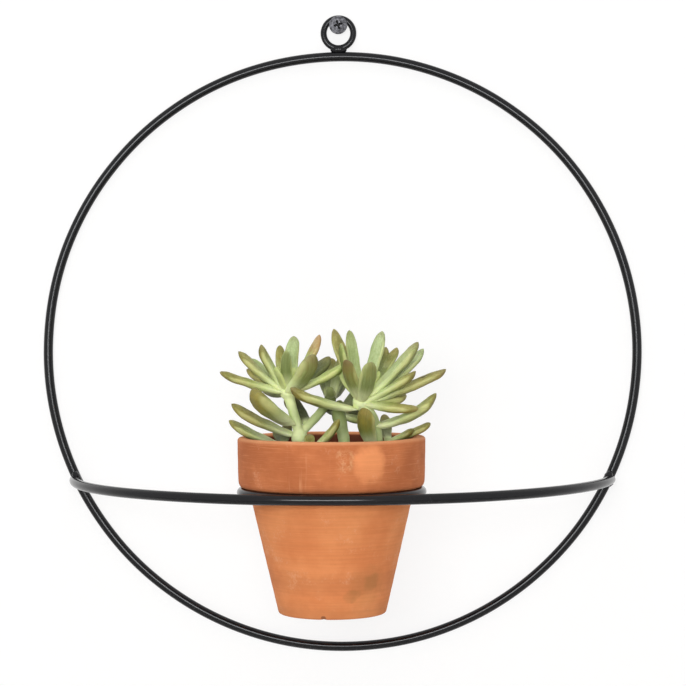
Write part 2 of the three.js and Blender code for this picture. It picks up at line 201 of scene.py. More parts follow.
# %% Sizes in metres
SEAT = 0.3 * MM  # the gap left between pieces that touch
BAR = 2.8 * MM  # half the thickness of the bar
WIRE = 1.85 * MM  # half the thickness of the eyelet's wire
FRAME_Y = -(BAR + SEAT)
HOOP_RADIUS = 175.2 * MM
EYELET_RADIUS = 8.8 * MM
EYELET = Vector((0, FRAME_Y, -4.55 * MM))
HOOP = Vector((0, FRAME_Y, -193.5 * MM))
BOW_DROP = 75.5 * MM
BOW_LEVEL = HOOP.z - BOW_DROP
BOW_REACH = 143 * MM
HOOP_CHORD = math.sqrt(HOOP_RADIUS**2 - BOW_DROP**2)
BOW_CHORD = HOOP_CHORD + 1.2 * MM
BOW_DEPTH = BOW_REACH + FRAME_Y - BAR - SEAT
BOW_RADIUS = (BOW_CHORD**2 + BOW_DEPTH**2) / (2 * BOW_DEPTH)
BOW_ANGLE = math.acos((BOW_RADIUS - BOW_DEPTH) / BOW_RADIUS)
RING_RADIUS = 49.6 * MM
POT = Vector((0, -87.5 * MM, BOW_LEVEL + 30.35 * MM))  # the middle of the rim's top
print("Hoop", round(2 * (HOOP_RADIUS + BAR), 4), "m over the bar; bow radius", round(BOW_RADIUS, 4), "m")

# %% [markdown]
# ## Finishes of the metal
# The bars carry a black powder coat: satin, with the fine orange peel that baked powder has, and here
# there a duller spot of dust. The screw is a dark phosphated steel, greyer and blotched, and its recess is
# painted near black and dull as painted shade. A painted picture would need every bar unwrapped, so noises
# of a few sizes, read at the place on the piece, drive the colour, the gloss and the bumps.


# %% Black powder coat
def black_coat():
    g, place = new_finish("black_coat")
    peel = g.noise(place, 700, 2)
    cloud = g.noise(place, 45, 4, 0.6)
    dust = g.noise(place, 260, 5, 0.7).ramp(0.62, 0.8)
    return dress(
        g,
        Base_Color=g.mix(dust * 0.35, g.mix(cloud, (11, 11, 13), (18, 18, 21)), (62, 62, 66)),
        Roughness=0.13 + cloud * 0.06 + dust * 0.1,
        Specular_IOR_Level=0.26,
        Normal=g.bump(peel + cloud * 0.6, 0.1 * MM, 0.12),
    )


BLACK_COAT = black_coat()


# %% Dark steel of the screw
def screw_steel():
    g, place = new_finish("screw_steel")
    blotch = g.noise(place, 620, 5, 0.65)
    grain = g.noise(place, 2600, 2)
    return dress(
        g,
        Base_Color=g.mix(blotch.ramp(0.38, 0.64), (62, 62, 66), (138, 138, 144)),
        Metallic=0.55,
        Roughness=0.42 + blotch * 0.2,
        Normal=g.bump(blotch * 0.7 + grain * 0.3, 0.1 * MM, 0.4),
    )


def recess_painted_shade():
    """The near-black, dull skin inside the screw's recess: painted shade."""
    g, place = new_finish("recess_painted_shade")
    grain = g.noise(place, 1800, 3)
    return dress(g, Base_Color=g.mix(grain, (16, 16, 18), (42, 41, 43)), Roughness=0.75 + grain * 0.2)


SCREW_STEEL = screw_steel()
RECESS_PAINTED_SHADE = recess_painted_shade()

# %% [markdown]
# ## Bars bent to a rule
# The hoop, the bow, the pot ring and the eyelet are all round bar on a circle. Blender's torus could make
# the rings but not the bow, so one Geometry Nodes tree makes them all. A straight curve is laid round a
# circle by its spline parameter, wavers by a fraction of a millimetre as hand-bent bar does, and a round
# section is swept along it. The frame's own bars have flat sides that would show as facets in a highlight.


# %% Tools for Geometry Nodes
def node_tree(name, sockets):
    """The graph of a Geometry Nodes tree with named inputs, and its group input."""
    tree = bpy.data.node_groups.new(name, "GeometryNodeTree")
    for label, kind in sockets.items():
        tree.interface.new_socket(label, in_out="INPUT", socket_type="NodeSocket" + kind)
    tree.interface.new_socket("Geometry", in_out="OUTPUT", socket_type="NodeSocketGeometry")
    graph = Graph(tree)
    return graph, graph.add("NodeGroupInput")


def close_tree(graph, geometry, finish):
    """Ends a tree in plain geometry with its material."""
    real = graph.add("GeometryNodeRealizeInstances", {"Geometry": geometry})
    dressed = graph.add("GeometryNodeSetMaterial", {"Geometry": real, "Material": finish})
    graph.add("NodeGroupOutput", {"Geometry": dressed})
    print(f"Tree {graph.tree.name}: {len(graph.tree.nodes)} nodes")
    return graph.tree


def push(graph, scale, detail, reach):
    """A vector for moving points at random, by up to half of reach each way."""
    drift = graph.noise(graph.add("GeometryNodeInputPosition"), scale, detail)["Color"]
    return graph.vector_math("SCALE", graph.vector_math("SUBTRACT", drift, (0.5, 0.5, 0.5)), reach)


print("A tree starts with node_tree and ends with close_tree")


# %% Tools for pieces
def new_object(name, data, finish=None):
    """An object in the scene, with a finish where it is a mesh that needs one."""
    piece = bpy.data.objects.new(name, data)
    bpy.context.scene.collection.objects.link(piece)
    if finish:
        data.materials.append(finish)
    return piece


def evaluated_mesh(piece):
    """A plain mesh of the piece with its modifiers made real, which are then removed."""
    depsgraph = bpy.context.evaluated_depsgraph_get()
    mesh = bpy.data.meshes.new_from_object(piece.evaluated_get(depsgraph), depsgraph=depsgraph)
    piece.modifiers.clear()
    return mesh


def grown(name, tree, inputs, start=None):
    """The plain mesh that a tree makes with these inputs, as an object."""
    seed = new_object(name + "_seed", start or bpy.data.meshes.new(name + "_start"))
    modifier = seed.modifiers.new("grow", "NODES")
    modifier.node_group = tree
    for item in tree.interface.items_tree:
        if item.in_out == "INPUT" and item.name in inputs:
            modifier[item.identifier] = inputs[item.name]
    mesh = evaluated_mesh(seed)
    bpy.data.objects.remove(seed)
    mesh.name = name
    return new_object(name, mesh)


def settle(piece, body, slot, *nodes):
    """Puts a finished piece on its body and lets it stand for its CAD nodes. The slot is not used."""
    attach(piece, body)
    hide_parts(*nodes)
    print(f"{piece.name}: {len(piece.data.polygons)} faces, on body {body}")
    return piece


print("Bodies to settle pieces on: screw, hanger and pot")


# %% The bent-bar tree
def bent_bar_tree():
    g, given = node_tree("bent_bar", {
        "Bend Radius": "Float", "Bar Radius": "Float", "Start": "Float", "Sweep": "Float",
        "Points": "Int", "Sides": "Int", "Closed": "Bool", "Waver": "Float", "Finish": "Material",
    })
    line = g.add("GeometryNodeCurvePrimitiveLine", {"End": (1.0, 0.0, 0.0)})
    line = g.add("GeometryNodeResampleCurve", {"Curve": line, "Count": given["Points"]})
    angle = given["Start"] + given["Sweep"] * g.add("GeometryNodeSplineParameter")["Factor"]
    bend = given["Bend Radius"]
    place = g.vector(bend * angle.math("SINE"), bend * angle.math("COSINE") * -1, 0.0)
    bent = g.add("GeometryNodeSetPosition", {"Geometry": line, "Position": place})
    bent = g.add("GeometryNodeSetSplineCyclic", {"Geometry": bent, "Cyclic": given["Closed"]})
    waver = push(g, 14, 1, given["Waver"])
    bent = g.add("GeometryNodeSetPosition", {"Geometry": bent, "Offset": waver})
    section = {"Resolution": given["Sides"], "Radius": given["Bar Radius"]}
    section = g.add("GeometryNodeCurvePrimitiveCircle", section)
    bar = g.add("GeometryNodeCurveToMesh", {"Curve": bent, "Profile Curve": section, "Fill Caps": True})
    corners = g.add("GeometryNodeInputMeshFaceNeighbors")["Vertex Count"]
    smooth = g.add("FunctionNodeCompare", {0: corners, 1: 4}, data_type="INT", operation="EQUAL")
    bar = g.add("GeometryNodeSetShadeSmooth", {"Geometry": bar, "Shade Smooth": smooth})
    return close_tree(g, bar, given["Finish"])


BENT_BAR = bent_bar_tree()

# %% Hoop, eyelet, bow and ring
UPRIGHT = Matrix.Rotation(math.pi / 2, 4, "X")


def bent_bar(name, node, place, bend, bar, points, sides, waver, half_angle=None):
    """A bar bent flat round the origin and then moved to its place on the hanger.

    It is a ring, or an arc of twice half_angle whose middle is at -Y.
    """
    closed = half_angle is None
    piece = grown(name, BENT_BAR, {
        "Bend Radius": bend, "Bar Radius": bar, "Points": points, "Sides": sides, "Closed": closed,
        "Start": 0.0 if closed else -half_angle,
        "Sweep": FULL_TURN * (points - 1) / points if closed else 2 * half_angle,
        "Waver": waver, "Finish": BLACK_COAT,
    })
    piece.data.transform(place)
    return settle(piece, "hanger", "black_coat", node)


def build_bars():
    on_wall = Matrix.Translation(HOOP) @ UPRIGHT
    bent_bar("hoop_bar", "hoop", on_wall, HOOP_RADIUS, BAR, 320, 28, 0.5 * MM)
    on_screw = Matrix.Translation(EYELET) @ UPRIGHT
    bent_bar("eyelet_loop", "hanging_eyelet", on_screw, EYELET_RADIUS, WIRE, 96, 24, 0.1 * MM)
    level = Matrix.Translation((0, BOW_RADIUS - BOW_REACH, BOW_LEVEL))
    bent_bar("bow_bar", "front_bow", level, BOW_RADIUS, BAR, 220, 28, 0.35 * MM, BOW_ANGLE)
    round_pot = Matrix.Translation((0, POT.y, BOW_LEVEL))
    bent_bar("ring_bar", "pot_ring", round_pot, RING_RADIUS, BAR, 160, 28, 0.2 * MM)


build_bars()

# %% [markdown]
# ## Weld beads
# Where two bars meet, a bead of weld fills the corner between them: one at the eyelet's foot, an upper and
# a lower one at each end of the bow, and two where the ring meets the bow. A bead is laid in small
# overlapping pools, so it is an egg shape with shallow rings along its length. Each could be sculpted, but
# one function of a length, a width and a height gives them all the same hand.


# %% Closed smooth forms
def skin(name, rows, joined=False):
    """A smooth mesh over rows of points, with its faces outwards. A row of one point is a pole."""
    sides = max(len(row) for row in rows)
    vertices, numbers = [], []
    for row in rows:
        first = len(vertices)
        numbers.append([first + k if len(row) > 1 else first for k in range(sides)])
        vertices += row
    beyond = numbers[1:] + numbers[:1] if joined else numbers[1:]
    faces = []
    for low, high in zip(numbers, beyond):
        for k in range(sides):
            n = (k + 1) % sides
            faces.append(tuple(dict.fromkeys((low[k], low[n], high[n], high[k]))))
    mesh = bpy.data.meshes.new(name)
    mesh.from_pydata(vertices, [], faces)
    form = bmesh.new()
    form.from_mesh(mesh)
    bmesh.ops.recalc_face_normals(form, faces=form.faces)
    form.to_mesh(mesh)
    form.free()
    mesh.polygons.foreach_set("use_smooth", [True] * len(mesh.polygons))
    return mesh


def closed_form(name, rings, sides, point_at):
    """A skin over point_at(along, round), with along from 0 to 1 and poles at both ends."""
    rows = []
    for i in range(rings + 1):
        count = sides if 0 < i < rings else 1
        rows.append([point_at(i / rings, k / sides) for k in range(count)])
    return skin(name, rows)


print("Forms are skins over rows of points")

# %% Beads
POOLS = 5
RIPPLE = 0.05


def bead(name, node, middle, way, half_length, half_width, half_height):
    """A weld bead along the direction way, with its height along the part of Z across it."""
    way = Vector(way).normalized()
    side = way.cross(Vector((0, 0, 1))).normalized()
    rise = side.cross(way)

    def point_at(along, round_):
        spread = math.sin(math.pi * along) ** 0.75
        ripple = 1 + RIPPLE * math.cos(FULL_TURN * POOLS * along) * spread
        angle = FULL_TURN * round_
        across = side * (half_width * spread * ripple * math.cos(angle))
        up = rise * (half_height * spread * ripple * math.sin(angle))
        return Vector(middle) - way * (half_length * math.cos(math.pi * along)) + across + up

    piece = new_object(name, closed_form(name, 40, 24, point_at), BLACK_COAT)
    settle(piece, "hanger", "black_coat", node)


def build_beads():
    foot = (0, FRAME_Y, EYELET.z - EYELET_RADIUS - 0.7 * MM)
    bead("eyelet_bead", "hanging_eyelet", foot, (1, 0, 0), 4.9 * MM, 2.5 * MM, 2.6 * MM)
    slope = math.atan2(HOOP_CHORD, BOW_DROP)
    for side, word in ((-1, "left"), (1, "right")):
        along_hoop = (side * math.cos(slope), 0, math.sin(slope))
        for rise, half, part in ((1.0, 4.4, "upper"), (-0.9, 3.4, "lower")):
            middle = (side * (HOOP_CHORD - 0.7 * rise * MM), FRAME_Y - 4.6 * MM, BOW_LEVEL + rise * MM)
            bead(f"bow_bead_{part}_{word}", "front_bow", middle, along_hoop, half * MM, 3.1 * MM, 2.5 * MM)
    touch = -BOW_REACH + BAR + SEAT / 2
    for rise, part in ((1.3, "top"), (-1.3, "under")):
        middle = (0, touch, BOW_LEVEL + rise * MM)
        bead(f"ring_bead_{part}", "pot_ring", middle, (1, 0, 0), 7 * MM, 1.9 * MM, 1.2 * MM)


build_beads()

# %% [markdown]
# ## The screw
# A truss-head wood screw holds the planter, and the room sees a low dome with a cross recess. The dome and
# the shank are turned from a profile, which is quicker to get right than a modelled dome, and the recess is
# cut with tapered wings by a Boolean. The thread follows a helix, which is a job for Geometry Nodes. It
# stands in the wall, so it is seen only from behind, where the wall is clear.


# %% Turned profile of the screw
def turned(name, profile, sides):
    """A skin turned round the Z axis from (radius, height) points that start and end on it."""
    angles = [FULL_TURN * k / sides for k in range(sides)]
    rows = []
    for radius, height in profile:
        ring = [(radius * math.cos(angle), radius * math.sin(angle), height) for angle in angles]
        rows.append(ring if radius > 0 else ring[:1])
    return skin(name, rows)


HEAD_SEAT = FRAME_Y - WIRE - SEAT
HEAD_HEIGHT = 2.5 * MM
HEAD_TOP = HEAD_SEAT - HEAD_HEIGHT
HEAD_RADIUS = 5.4 * MM
DOME = 1.8 * MM
SHANK = 2.1 * MM
CORE = 1.5 * MM


def screw_profile():
    """Radius and distance into the wall, from the top of the dome to the tip."""
    sphere = (HEAD_RADIUS**2 + DOME**2) / (2 * DOME)
    points = []
    for step in range(15):
        angle = math.asin(HEAD_RADIUS / sphere) * step / 14
        points.append((sphere * math.sin(angle), HEAD_TOP + sphere * (1 - math.cos(angle))))
    edge = HEAD_SEAT - 0.15 * MM
    points += [(HEAD_RADIUS, edge), (HEAD_RADIUS - 0.2 * MM, HEAD_SEAT), (SHANK + 0.3 * MM, HEAD_SEAT)]
    points += [(SHANK, HEAD_SEAT + 0.3 * MM), (SHANK, 0), (CORE, 1.2 * MM), (CORE, 26 * MM), (0, 33 * MM)]
    return points


print("Screw profile:", len(screw_profile()), "points")

# %% Screw head and shank
INTO_WALL = Matrix.Rotation(-math.pi / 2, 4, "X")
RECESS_TURNS = (-17, 73)
RECESS_MOUTH = (7.0, 1.6, -0.6)  # length, width and depth of one arm where it opens, in mm
RECESS_FLOOR = (3.6, 0.9, 1.9)


def recess_wing(turn):
    """One tapered bar of the cross-shaped cutter."""
    mesh = bpy.data.meshes.new("wing")
    form = bmesh.new()
    bmesh.ops.create_cube(form, size=1)
    for v in form.verts:
        length, width, depth = RECESS_FLOOR if v.co.z > 0 else RECESS_MOUTH
        v.co = Vector((v.co.x * length * MM, v.co.y * width * MM, HEAD_TOP + depth * MM))
    bmesh.ops.bevel(form, geom=form.edges[:], offset=0.12 * MM, segments=2, affect="EDGES")
    form.to_mesh(mesh)
    form.free()
    mesh.transform(Matrix.Rotation(math.radians(turn), 4, "Z"))
    # The cutter carries the painted shade that the recess walls take.
    return new_object("recess_wing", mesh, RECESS_PAINTED_SHADE)


def build_screw():
    body = new_object("screw_body", turned("screw_body", screw_profile(), 72), SCREW_STEEL)
    for turn in RECESS_TURNS:
        wing = recess_wing(turn)
        cut = body.modifiers.new("recess", "BOOLEAN")
        cut.object, cut.operation, cut.solver = wing, "DIFFERENCE", "EXACT"
        cut.material_mode = "TRANSFER"
        body.data = evaluated_mesh(body)
        bpy.data.objects.remove(wing)
    body.data.transform(INTO_WALL)
    body.data.set_sharp_from_angle(angle=math.radians(35))
    settle(body, "screw", "screw_steel", "wall_screw")


build_screw()


# %% Screw thread
THREAD_END = 0.04 * MM  # how thick the thread is where it starts and ends


def thread_tree():
    g, given = node_tree("thread", {
        "Turns": "Float", "Root Radius": "Float", "Rise": "Float", "Depth": "Float", "Finish": "Material",
    })
    helix = g.add("GeometryNodeCurveSpiral", {
        "Resolution": 28, "Rotations": given["Turns"], "Start Radius": given["Root Radius"],
        "End Radius": given["Root Radius"], "Height": given["Rise"],
    })
    share = g.add("GeometryNodeSplineParameter")["Factor"]
    depth = share.ramp(0.0, 0.06) * share.ramp(1.0, 0.86) * given["Depth"] + THREAD_END
    ridge = g.add("GeometryNodeCurvePrimitiveCircle", {"Resolution": 3, "Radius": 1.0})
    swept = {"Curve": helix, "Profile Curve": ridge, "Fill Caps": True, "Scale": depth}
    return close_tree(g, g.add("GeometryNodeCurveToMesh", swept), given["Finish"])


def build_thread():
    thread = grown("screw_thread", thread_tree(), {
        "Turns": 11.0, "Root Radius": CORE, "Rise": 26 * MM, "Depth": 0.6 * MM, "Finish": SCREW_STEEL,
    })
    thread.data.transform(INTO_WALL @ Matrix.Translation((0, 0, 1.5 * MM)))
    settle(thread, "screw", "screw_steel", "wall_screw")


build_thread()

# %% [markdown]
# ## The clay pot
# It is a turned flowerpot with a tall rim, unglazed and fired orange. Blender's Spin tool would give a
# perfect one, but turning leaves faint rings, a drying pot goes a little out of round, and the foot's edge
# has lost a small chip. So one closed profile, from the drain hole out over the foot, up the body, round
# the rim and down inside, is laid round the axis as rows of points, and sums push the points about.

# %% Profile of the pot
RIM_TOP = 51.9 * MM
RIM_FOOT = 51.4 * MM
RIM_DROP = 27.6 * MM
BODY_TOP = 45.9 * MM
BODY_FOOT = 29.6 * MM
POT_HEIGHT = 97.3 * MM
MOUTH = 45.9 * MM
FLOOR_UP = 7 * MM
POT_WALL = 5 * MM
DRAIN = 6 * MM


def pot_outline():
    """(radius, height over the rim's top) round the wall of the pot, without the last point repeated."""
    foot, floor = -POT_HEIGHT, -POT_HEIGHT + FLOOR_UP
    corners = [
        (DRAIN, foot, 0.8, 0.8), (BODY_FOOT, foot, 1.5, 1.5), (BODY_TOP, -RIM_DROP, 0.9, 0.9),
        (RIM_FOOT, -RIM_DROP, 2.8, 5.2), (RIM_TOP, 0, 2.2, 1.9), (MOUTH, 0, 2.6, 2.6),
        (MOUTH - 0.3 * MM, -RIM_DROP, 2.0, 2.0), (BODY_TOP - POT_WALL, -RIM_DROP - 3 * MM, 2.0, 2.0),
        (BODY_FOOT - POT_WALL, floor, 3.0, 3.0), (DRAIN, floor, 0.8, 0.8),
    ]
    points = []
    for k, (r, z, fillet_in, fillet_out) in enumerate(corners):
        here = Vector((r, z))
        before = Vector(corners[k - 1][:2]) - here
        after = Vector(corners[(k + 1) % len(corners)][:2]) - here
        start = here + before.normalized() * fillet_in * MM
        end = here + after.normalized() * fillet_out * MM
        for step in range(7):
            t = step / 6
            points.append(start * (1 - t) ** 2 + here * 2 * t * (1 - t) + end * t**2)
    return points


def spaced(points, gap):
    """The closed outline with points no further apart than the gap."""
    result = []
    for k, here in enumerate(points):
        ahead = points[(k + 1) % len(points)]
        count = max(1, math.ceil((ahead - here).length / gap))
        result += [here.lerp(ahead, n / count) for n in range(count)]
    return np.array([tuple(p) for p in result])


print("Pot outline:", len(pot_outline()), "points")

# %% Turn the pot
CHIP_TURN = math.radians(264.3)
CHIP_WIDTH = 0.04
CHIP_HEIGHT = 1.2 * MM


def build_pot():
    outline = spaced(pot_outline(), 1.1 * MM)
    angle = np.linspace(0, FULL_TURN, 240, endpoint=False)[None, :]
    radius, height = outline[:, :1], outline[:, 1:]
    outside = (radius > 20 * MM) & (height > -POT_HEIGHT + 0.5 * MM)
    rings = 0.015 * np.sin(height * 2600 + np.sin(height * 310) * 2) + 0.03 * np.sin(height * 700 + 1.3)
    lean = 0.12 * np.sin(2 * angle + 0.4) + 0.05 * np.sin(5 * angle + height * 60)
    draft = radius + (rings + lean) * MM * outside
    from_chip = ((angle - CHIP_TURN) / CHIP_WIDTH) ** 2 + ((height + POT_HEIGHT) / CHIP_HEIGHT) ** 2
    chip = np.exp(-from_chip) * (radius > 25 * MM)
    draft = draft - 0.8 * MM * chip
    wave = 0.12 * MM * np.sin(3 * angle + 1.1) * (height > -2.5 * MM)
    rise = height + 0.25 * MM * chip + wave
    grid = np.stack([draft * np.cos(angle), draft * np.sin(angle), rise], axis=-1) + np.array(POT)
    pot = new_object("clay_pot", skin("clay_pot", grid.tolist(), joined=True), CLAY)
    settle(pot, "pot", "clay", "terracotta_pot")


print("The pot is", round(2000 * RIM_TOP), "mm over its rim")

# %% [markdown]
# ## Clay
# Bare clay is never one colour. The rim is redder than the body, water has left brown stains low down and
# pale drips on the rim, a paler patch sits on the rim's front, the lip is paler, and fine lines run round
# it.
# These could be painted by hand in Texture Paint, but then they would be a picture. Here the place on the
# pot is written as a depth under the rim and an angle round the axis, so each mark is set down by its
# numbers.
# The inner wall is painted much darker, as painted shade.


# %% Clay finish
def clay():
    g, place = new_finish("clay")
    parts = g.parts(place)
    x, y, z = parts["X"], parts["Y"] - POT.y, parts["Z"] - POT.z
    depth = z * -1000
    angle = y.math("ARCTAN2", x) * (180 / math.pi)
    radius = (x * x + y * y).math("SQRT") * 1000
    edge = g.noise(place, 170, 4, 0.6) - 0.5
    cloud = g.noise(place, 38, 4, 0.6)
    grit = g.noise(place, 900, 3, 0.6)
    rings = g.noise(g.vector(x * 20, y * 20, z * 900), 1.0, 3, 0.6)
    brushed = g.noise(g.vector(x * 60, y * 60, z * 1900), 1.0, 3, 0.7)

    def patch(middle_angle, middle_depth, half_angle, half_depth, ragged=0.6, soft=0.5):
        """1 in the middle of a soft patch and 0 outside it."""
        across = ((angle - middle_angle) / half_angle).math("ABSOLUTE") ** 2.6
        down = ((depth - middle_depth) / half_depth).math("ABSOLUTE") ** 2.6
        return (across + down + edge * ragged).ramp(1 + soft, 1 - soft)

    rim = depth.ramp(28.4, 26.6)
    body = g.mix(cloud.ramp(0.25, 0.75), (208, 124, 74), (224, 144, 90))
    band = g.mix(cloud.ramp(0.3, 0.7), (176, 100, 59), (202, 120, 74))
    water_line = depth + edge * 8
    # A paler patch on the front of the rim.
    pale_rim_patch = patch(-63.2, 11.8, 9.4, 9.6, 1.6, 0.75) * (0.34 + rings * 0.5 + depth.ramp(17, 9) * 0.2)
    flecks = g.noise(place, 300, 3).ramp(0.4, 0.62)
    scrawl = (g.noise(place, 430, 2) - 0.5).math("ABSOLUTE").ramp(0.07, 0.0)
    scuff = patch(-78.5, 9.8, 5.0, 6.0, 1.6, 0.6) * (flecks * 0.4 + scrawl * 0.2)
    runs = g.noise(g.vector(angle * 0.2, 0.0, z * 14), 1.0, 4, 0.7).ramp(0.54, 0.7)
    runs = runs * rim * depth.ramp(3, 12) * (angle + 106).math("ABSOLUTE").ramp(26, 6)
    bloom = (g.noise(place, 75, 5, 0.7) * 0.7 + grit * 0.3).ramp(0.54, 0.7)
    damp = patch(-52, 79, 17, 10, 2.2, 0.95) * 0.22
    damp = damp + patch(-48.6, 77.0, 7.5, 4.4, 4.4, 0.95) * 0.34
    damp = damp + patch(-67.3, 84.6, 8.0, 3.2, 4.4, 0.95) * 0.3
    # The lip of the rim is paler.
    pale_lip = depth.ramp(2.4, 0.3) * radius.ramp(43, 46.5)
    shell = 48 - depth.ramp(26.6, 28.6) * 4.6 - (depth - 27.6).math("MAXIMUM", 0.0) * 0.234
    # Painted shade: the inner wall is made much darker.
    inner_wall_painted_shade = (shell - radius).ramp(-0.4, 0.4) * depth.ramp(0.8, 2.2) * depth.ramp(97.2, 96.4)
    colour = g.layers(
        g.mix(rim, body, band),
        (rings.ramp(0.35, 0.7) * 0.16, (170, 98, 58)),
        (brushed.ramp(0.5, 0.75) * (0.16 + rim * 0.2), (226, 152, 104)),
        (water_line.ramp(70, 76) * water_line.ramp(86, 79) * 0.35, (176, 104, 64)),
        (pale_rim_patch, (236, 152, 98)),
        (scuff, (214, 160, 112)),
        (runs * 0.5, (222, 158, 112)),
        (bloom * 0.3, (232, 186, 150)),
        (damp.math("MINIMUM", 1.0), (150, 102, 58)),
        (patch(-95.7, 96.6, 2.6, 1.5) * 0.85, (118, 62, 40)),
        ((depth + edge * 9).ramp(86, 97) * 0.3, (160, 106, 68)),
        (pale_lip * 0.55, (222, 160, 114)),
        (inner_wall_painted_shade, g.mix(cloud, (92, 50, 34), (126, 70, 46))),
        (grit.ramp(0.68, 0.8) * 0.35, (120, 68, 44)),
    )
    pits = g.noise(place, 1500, 1).ramp(0.7, 0.82)
    return dress(
        g,
        Base_Color=colour,
        Roughness=0.82 + grit * 0.14,
        Normal=g.bump(rings * 0.12 + grit * 0.3 + cloud * 0.4 - pits * 0.5, 0.6 * MM, 0.55),
        Specular_IOR_Level=0.25,
    )


CLAY = clay()
build_pot()

# %% [markdown]
# ## Potting soil
# A dark mix of peat and bark with white grains of perlite fills the pot. Particles could be poured in by a
# simulation, but only the top shows, so the bed is one lumpy closed disc. The loose crumbs repeat by the
# hundred, so Geometry Nodes scatters copies of one lump over the bed's top, with a fixed seed.


# %% Soil finish
def soil_finish():
    g, place = new_finish("soil")
    crumb = g.add("ShaderNodeAttribute", attribute_name="crumb")["Fac"]
    grain = g.noise(place, 600, 4, 0.7)
    colour = g.layers(
        g.mix(grain, (28, 20, 15), (66, 48, 36)),
        (crumb.ramp(0.1, 0.8), (118, 84, 58)),
        (crumb.ramp(0.9, 0.92), (214, 208, 196)),
    )
    return dress(g, Base_Color=colour, Roughness=0.93, Normal=g.bump(grain, 0.8 * MM, 0.8))


SOIL = soil_finish()

# %% Soil bed
SOIL_DROP = 15 * MM
SOIL_CROWN = 4.5 * MM
SOIL_LUMPS = 0.55 * MM


def build_soil_bed():
    inner = MOUTH - 0.6 * MM
    floor = -POT_HEIGHT + FLOOR_UP + 0.4 * MM
    profile = [(0, floor), (BODY_FOOT - POT_WALL - 0.7 * MM, floor)]
    profile += [(BODY_TOP - POT_WALL - 0.8 * MM, -RIM_DROP - 3.4 * MM)]
    profile += [(inner - 0.4 * MM, -RIM_DROP - 0.5 * MM)]
    for step in range(31):
        share = 1 - step / 30
        profile.append((inner * share, -SOIL_DROP + SOIL_CROWN * (1 - share**2)))
    mesh = turned("soil_bed", profile, 96)
    for v in mesh.vertices:
        if v.co.z > -SOIL_DROP - 0.1 * MM:
            coarse = math.sin(v.co.x * 700) * math.sin(v.co.y * 610 + 1)
            v.co.z += SOIL_LUMPS * (coarse + 0.6 * math.sin(v.co.x * 1500 + v.co.y * 1300))
    mesh.transform(Matrix.Translation(POT))
    return settle(new_object("soil_bed", mesh, SOIL), "pot", "soil", "potting_soil")


SOIL_BED = build_soil_bed()

# %% Soil crumbs
CRUMBS_PER_AREA = 230000.0
SMALL_CRUMB = (0.0005, 0.0005, 0.0004)
LARGE_CRUMB = (0.0019, 0.0015, 0.0011)


def crumb_tree():
    g, given = node_tree("crumbs", {
        "Bed": "Object", "Count per Area": "Float", "Level": "Float", "Seed": "Int", "Finish": "Material",
    })
    bed = g.add("GeometryNodeObjectInfo", {"Object": given["Bed"]})["Geometry"]
    height = g.parts(g.add("GeometryNodeInputPosition"))["Z"]
    above = g.add("FunctionNodeCompare", {"A": height, "B": given["Level"]}, operation="GREATER_THAN")
    scatter = {"Mesh": bed, "Selection": above, "Density": given["Count per Area"], "Seed": given["Seed"]}
    points = g.add("GeometryNodeDistributePointsOnFaces", scatter)
    crumb = g.add("GeometryNodeMeshIcoSphere", {"Radius": 1.0, "Subdivisions": 2})
    crumb = g.add("GeometryNodeSetPosition", {"Geometry": crumb, "Offset": push(g, 1.4, 1, 1.0)})

    def random(kind, **inputs):
        return g.add("FunctionNodeRandomValue", inputs, data_type=kind)

    turn = random("FLOAT_VECTOR", Max=(6.3, 6.3, 6.3), Seed=3)
    size = random("FLOAT_VECTOR", Min=SMALL_CRUMB, Max=LARGE_CRUMB, Seed=5)
    named = {"Geometry": points, "Name": "crumb", "Value": random("FLOAT", Seed=8)}
    points = g.add("GeometryNodeStoreNamedAttribute", named, data_type="FLOAT", domain="POINT")
    turn = g.add("FunctionNodeEulerToRotation", {"Euler": turn})
    laid = {"Points": points, "Instance": crumb, "Rotation": turn, "Scale": size}
    return close_tree(g, g.add("GeometryNodeInstanceOnPoints", laid), given["Finish"])


def build_crumbs():
    level = POT.z - SOIL_DROP - 1 * MM
    inputs = {"Bed": SOIL_BED, "Count per Area": CRUMBS_PER_AREA, "Level": level, "Seed": 4, "Finish": SOIL}
    settle(grown("soil_crumbs", crumb_tree(), inputs), "pot", "soil", "potting_soil")


build_crumbs()

# %% [markdown]
# ## Succulent leaves
# Each leaf is a thick paddle: narrow where it clasps the stem, widest past its middle, flat or a little
# hollow above and round below, with a crisp margin and a small point. Every leaf could be modelled alone,
# but they all follow one rule, so one base leaf is made from sums. Geometry Nodes lays a copy for every row
# of a shoot's table, stretches it, bends it and joins the copies. They carry the leaf's looks, painted
# shade among them, as attributes, and one finish reads them.

# %% Base leaf
WIDEST = 0.64  # the share of the length at which a leaf is widest
FOOT_SHARE = 0.5  # the width at its foot, as a share of the greatest
UPPER, LOWER = 0.5, 0.8  # how thick the leaf is over and under its margin


def leaf_width(share):
    """Half the width at a share of the length, as a share of the greatest."""
    if share < WIDEST:
        return FOOT_SHARE + (1 - FOOT_SHARE) * math.sin(math.pi / 2 * share / WIDEST) ** 0.9
    beyond = (share - WIDEST) / (1 - WIDEST)
    return (1 - beyond**2.8) ** 0.55


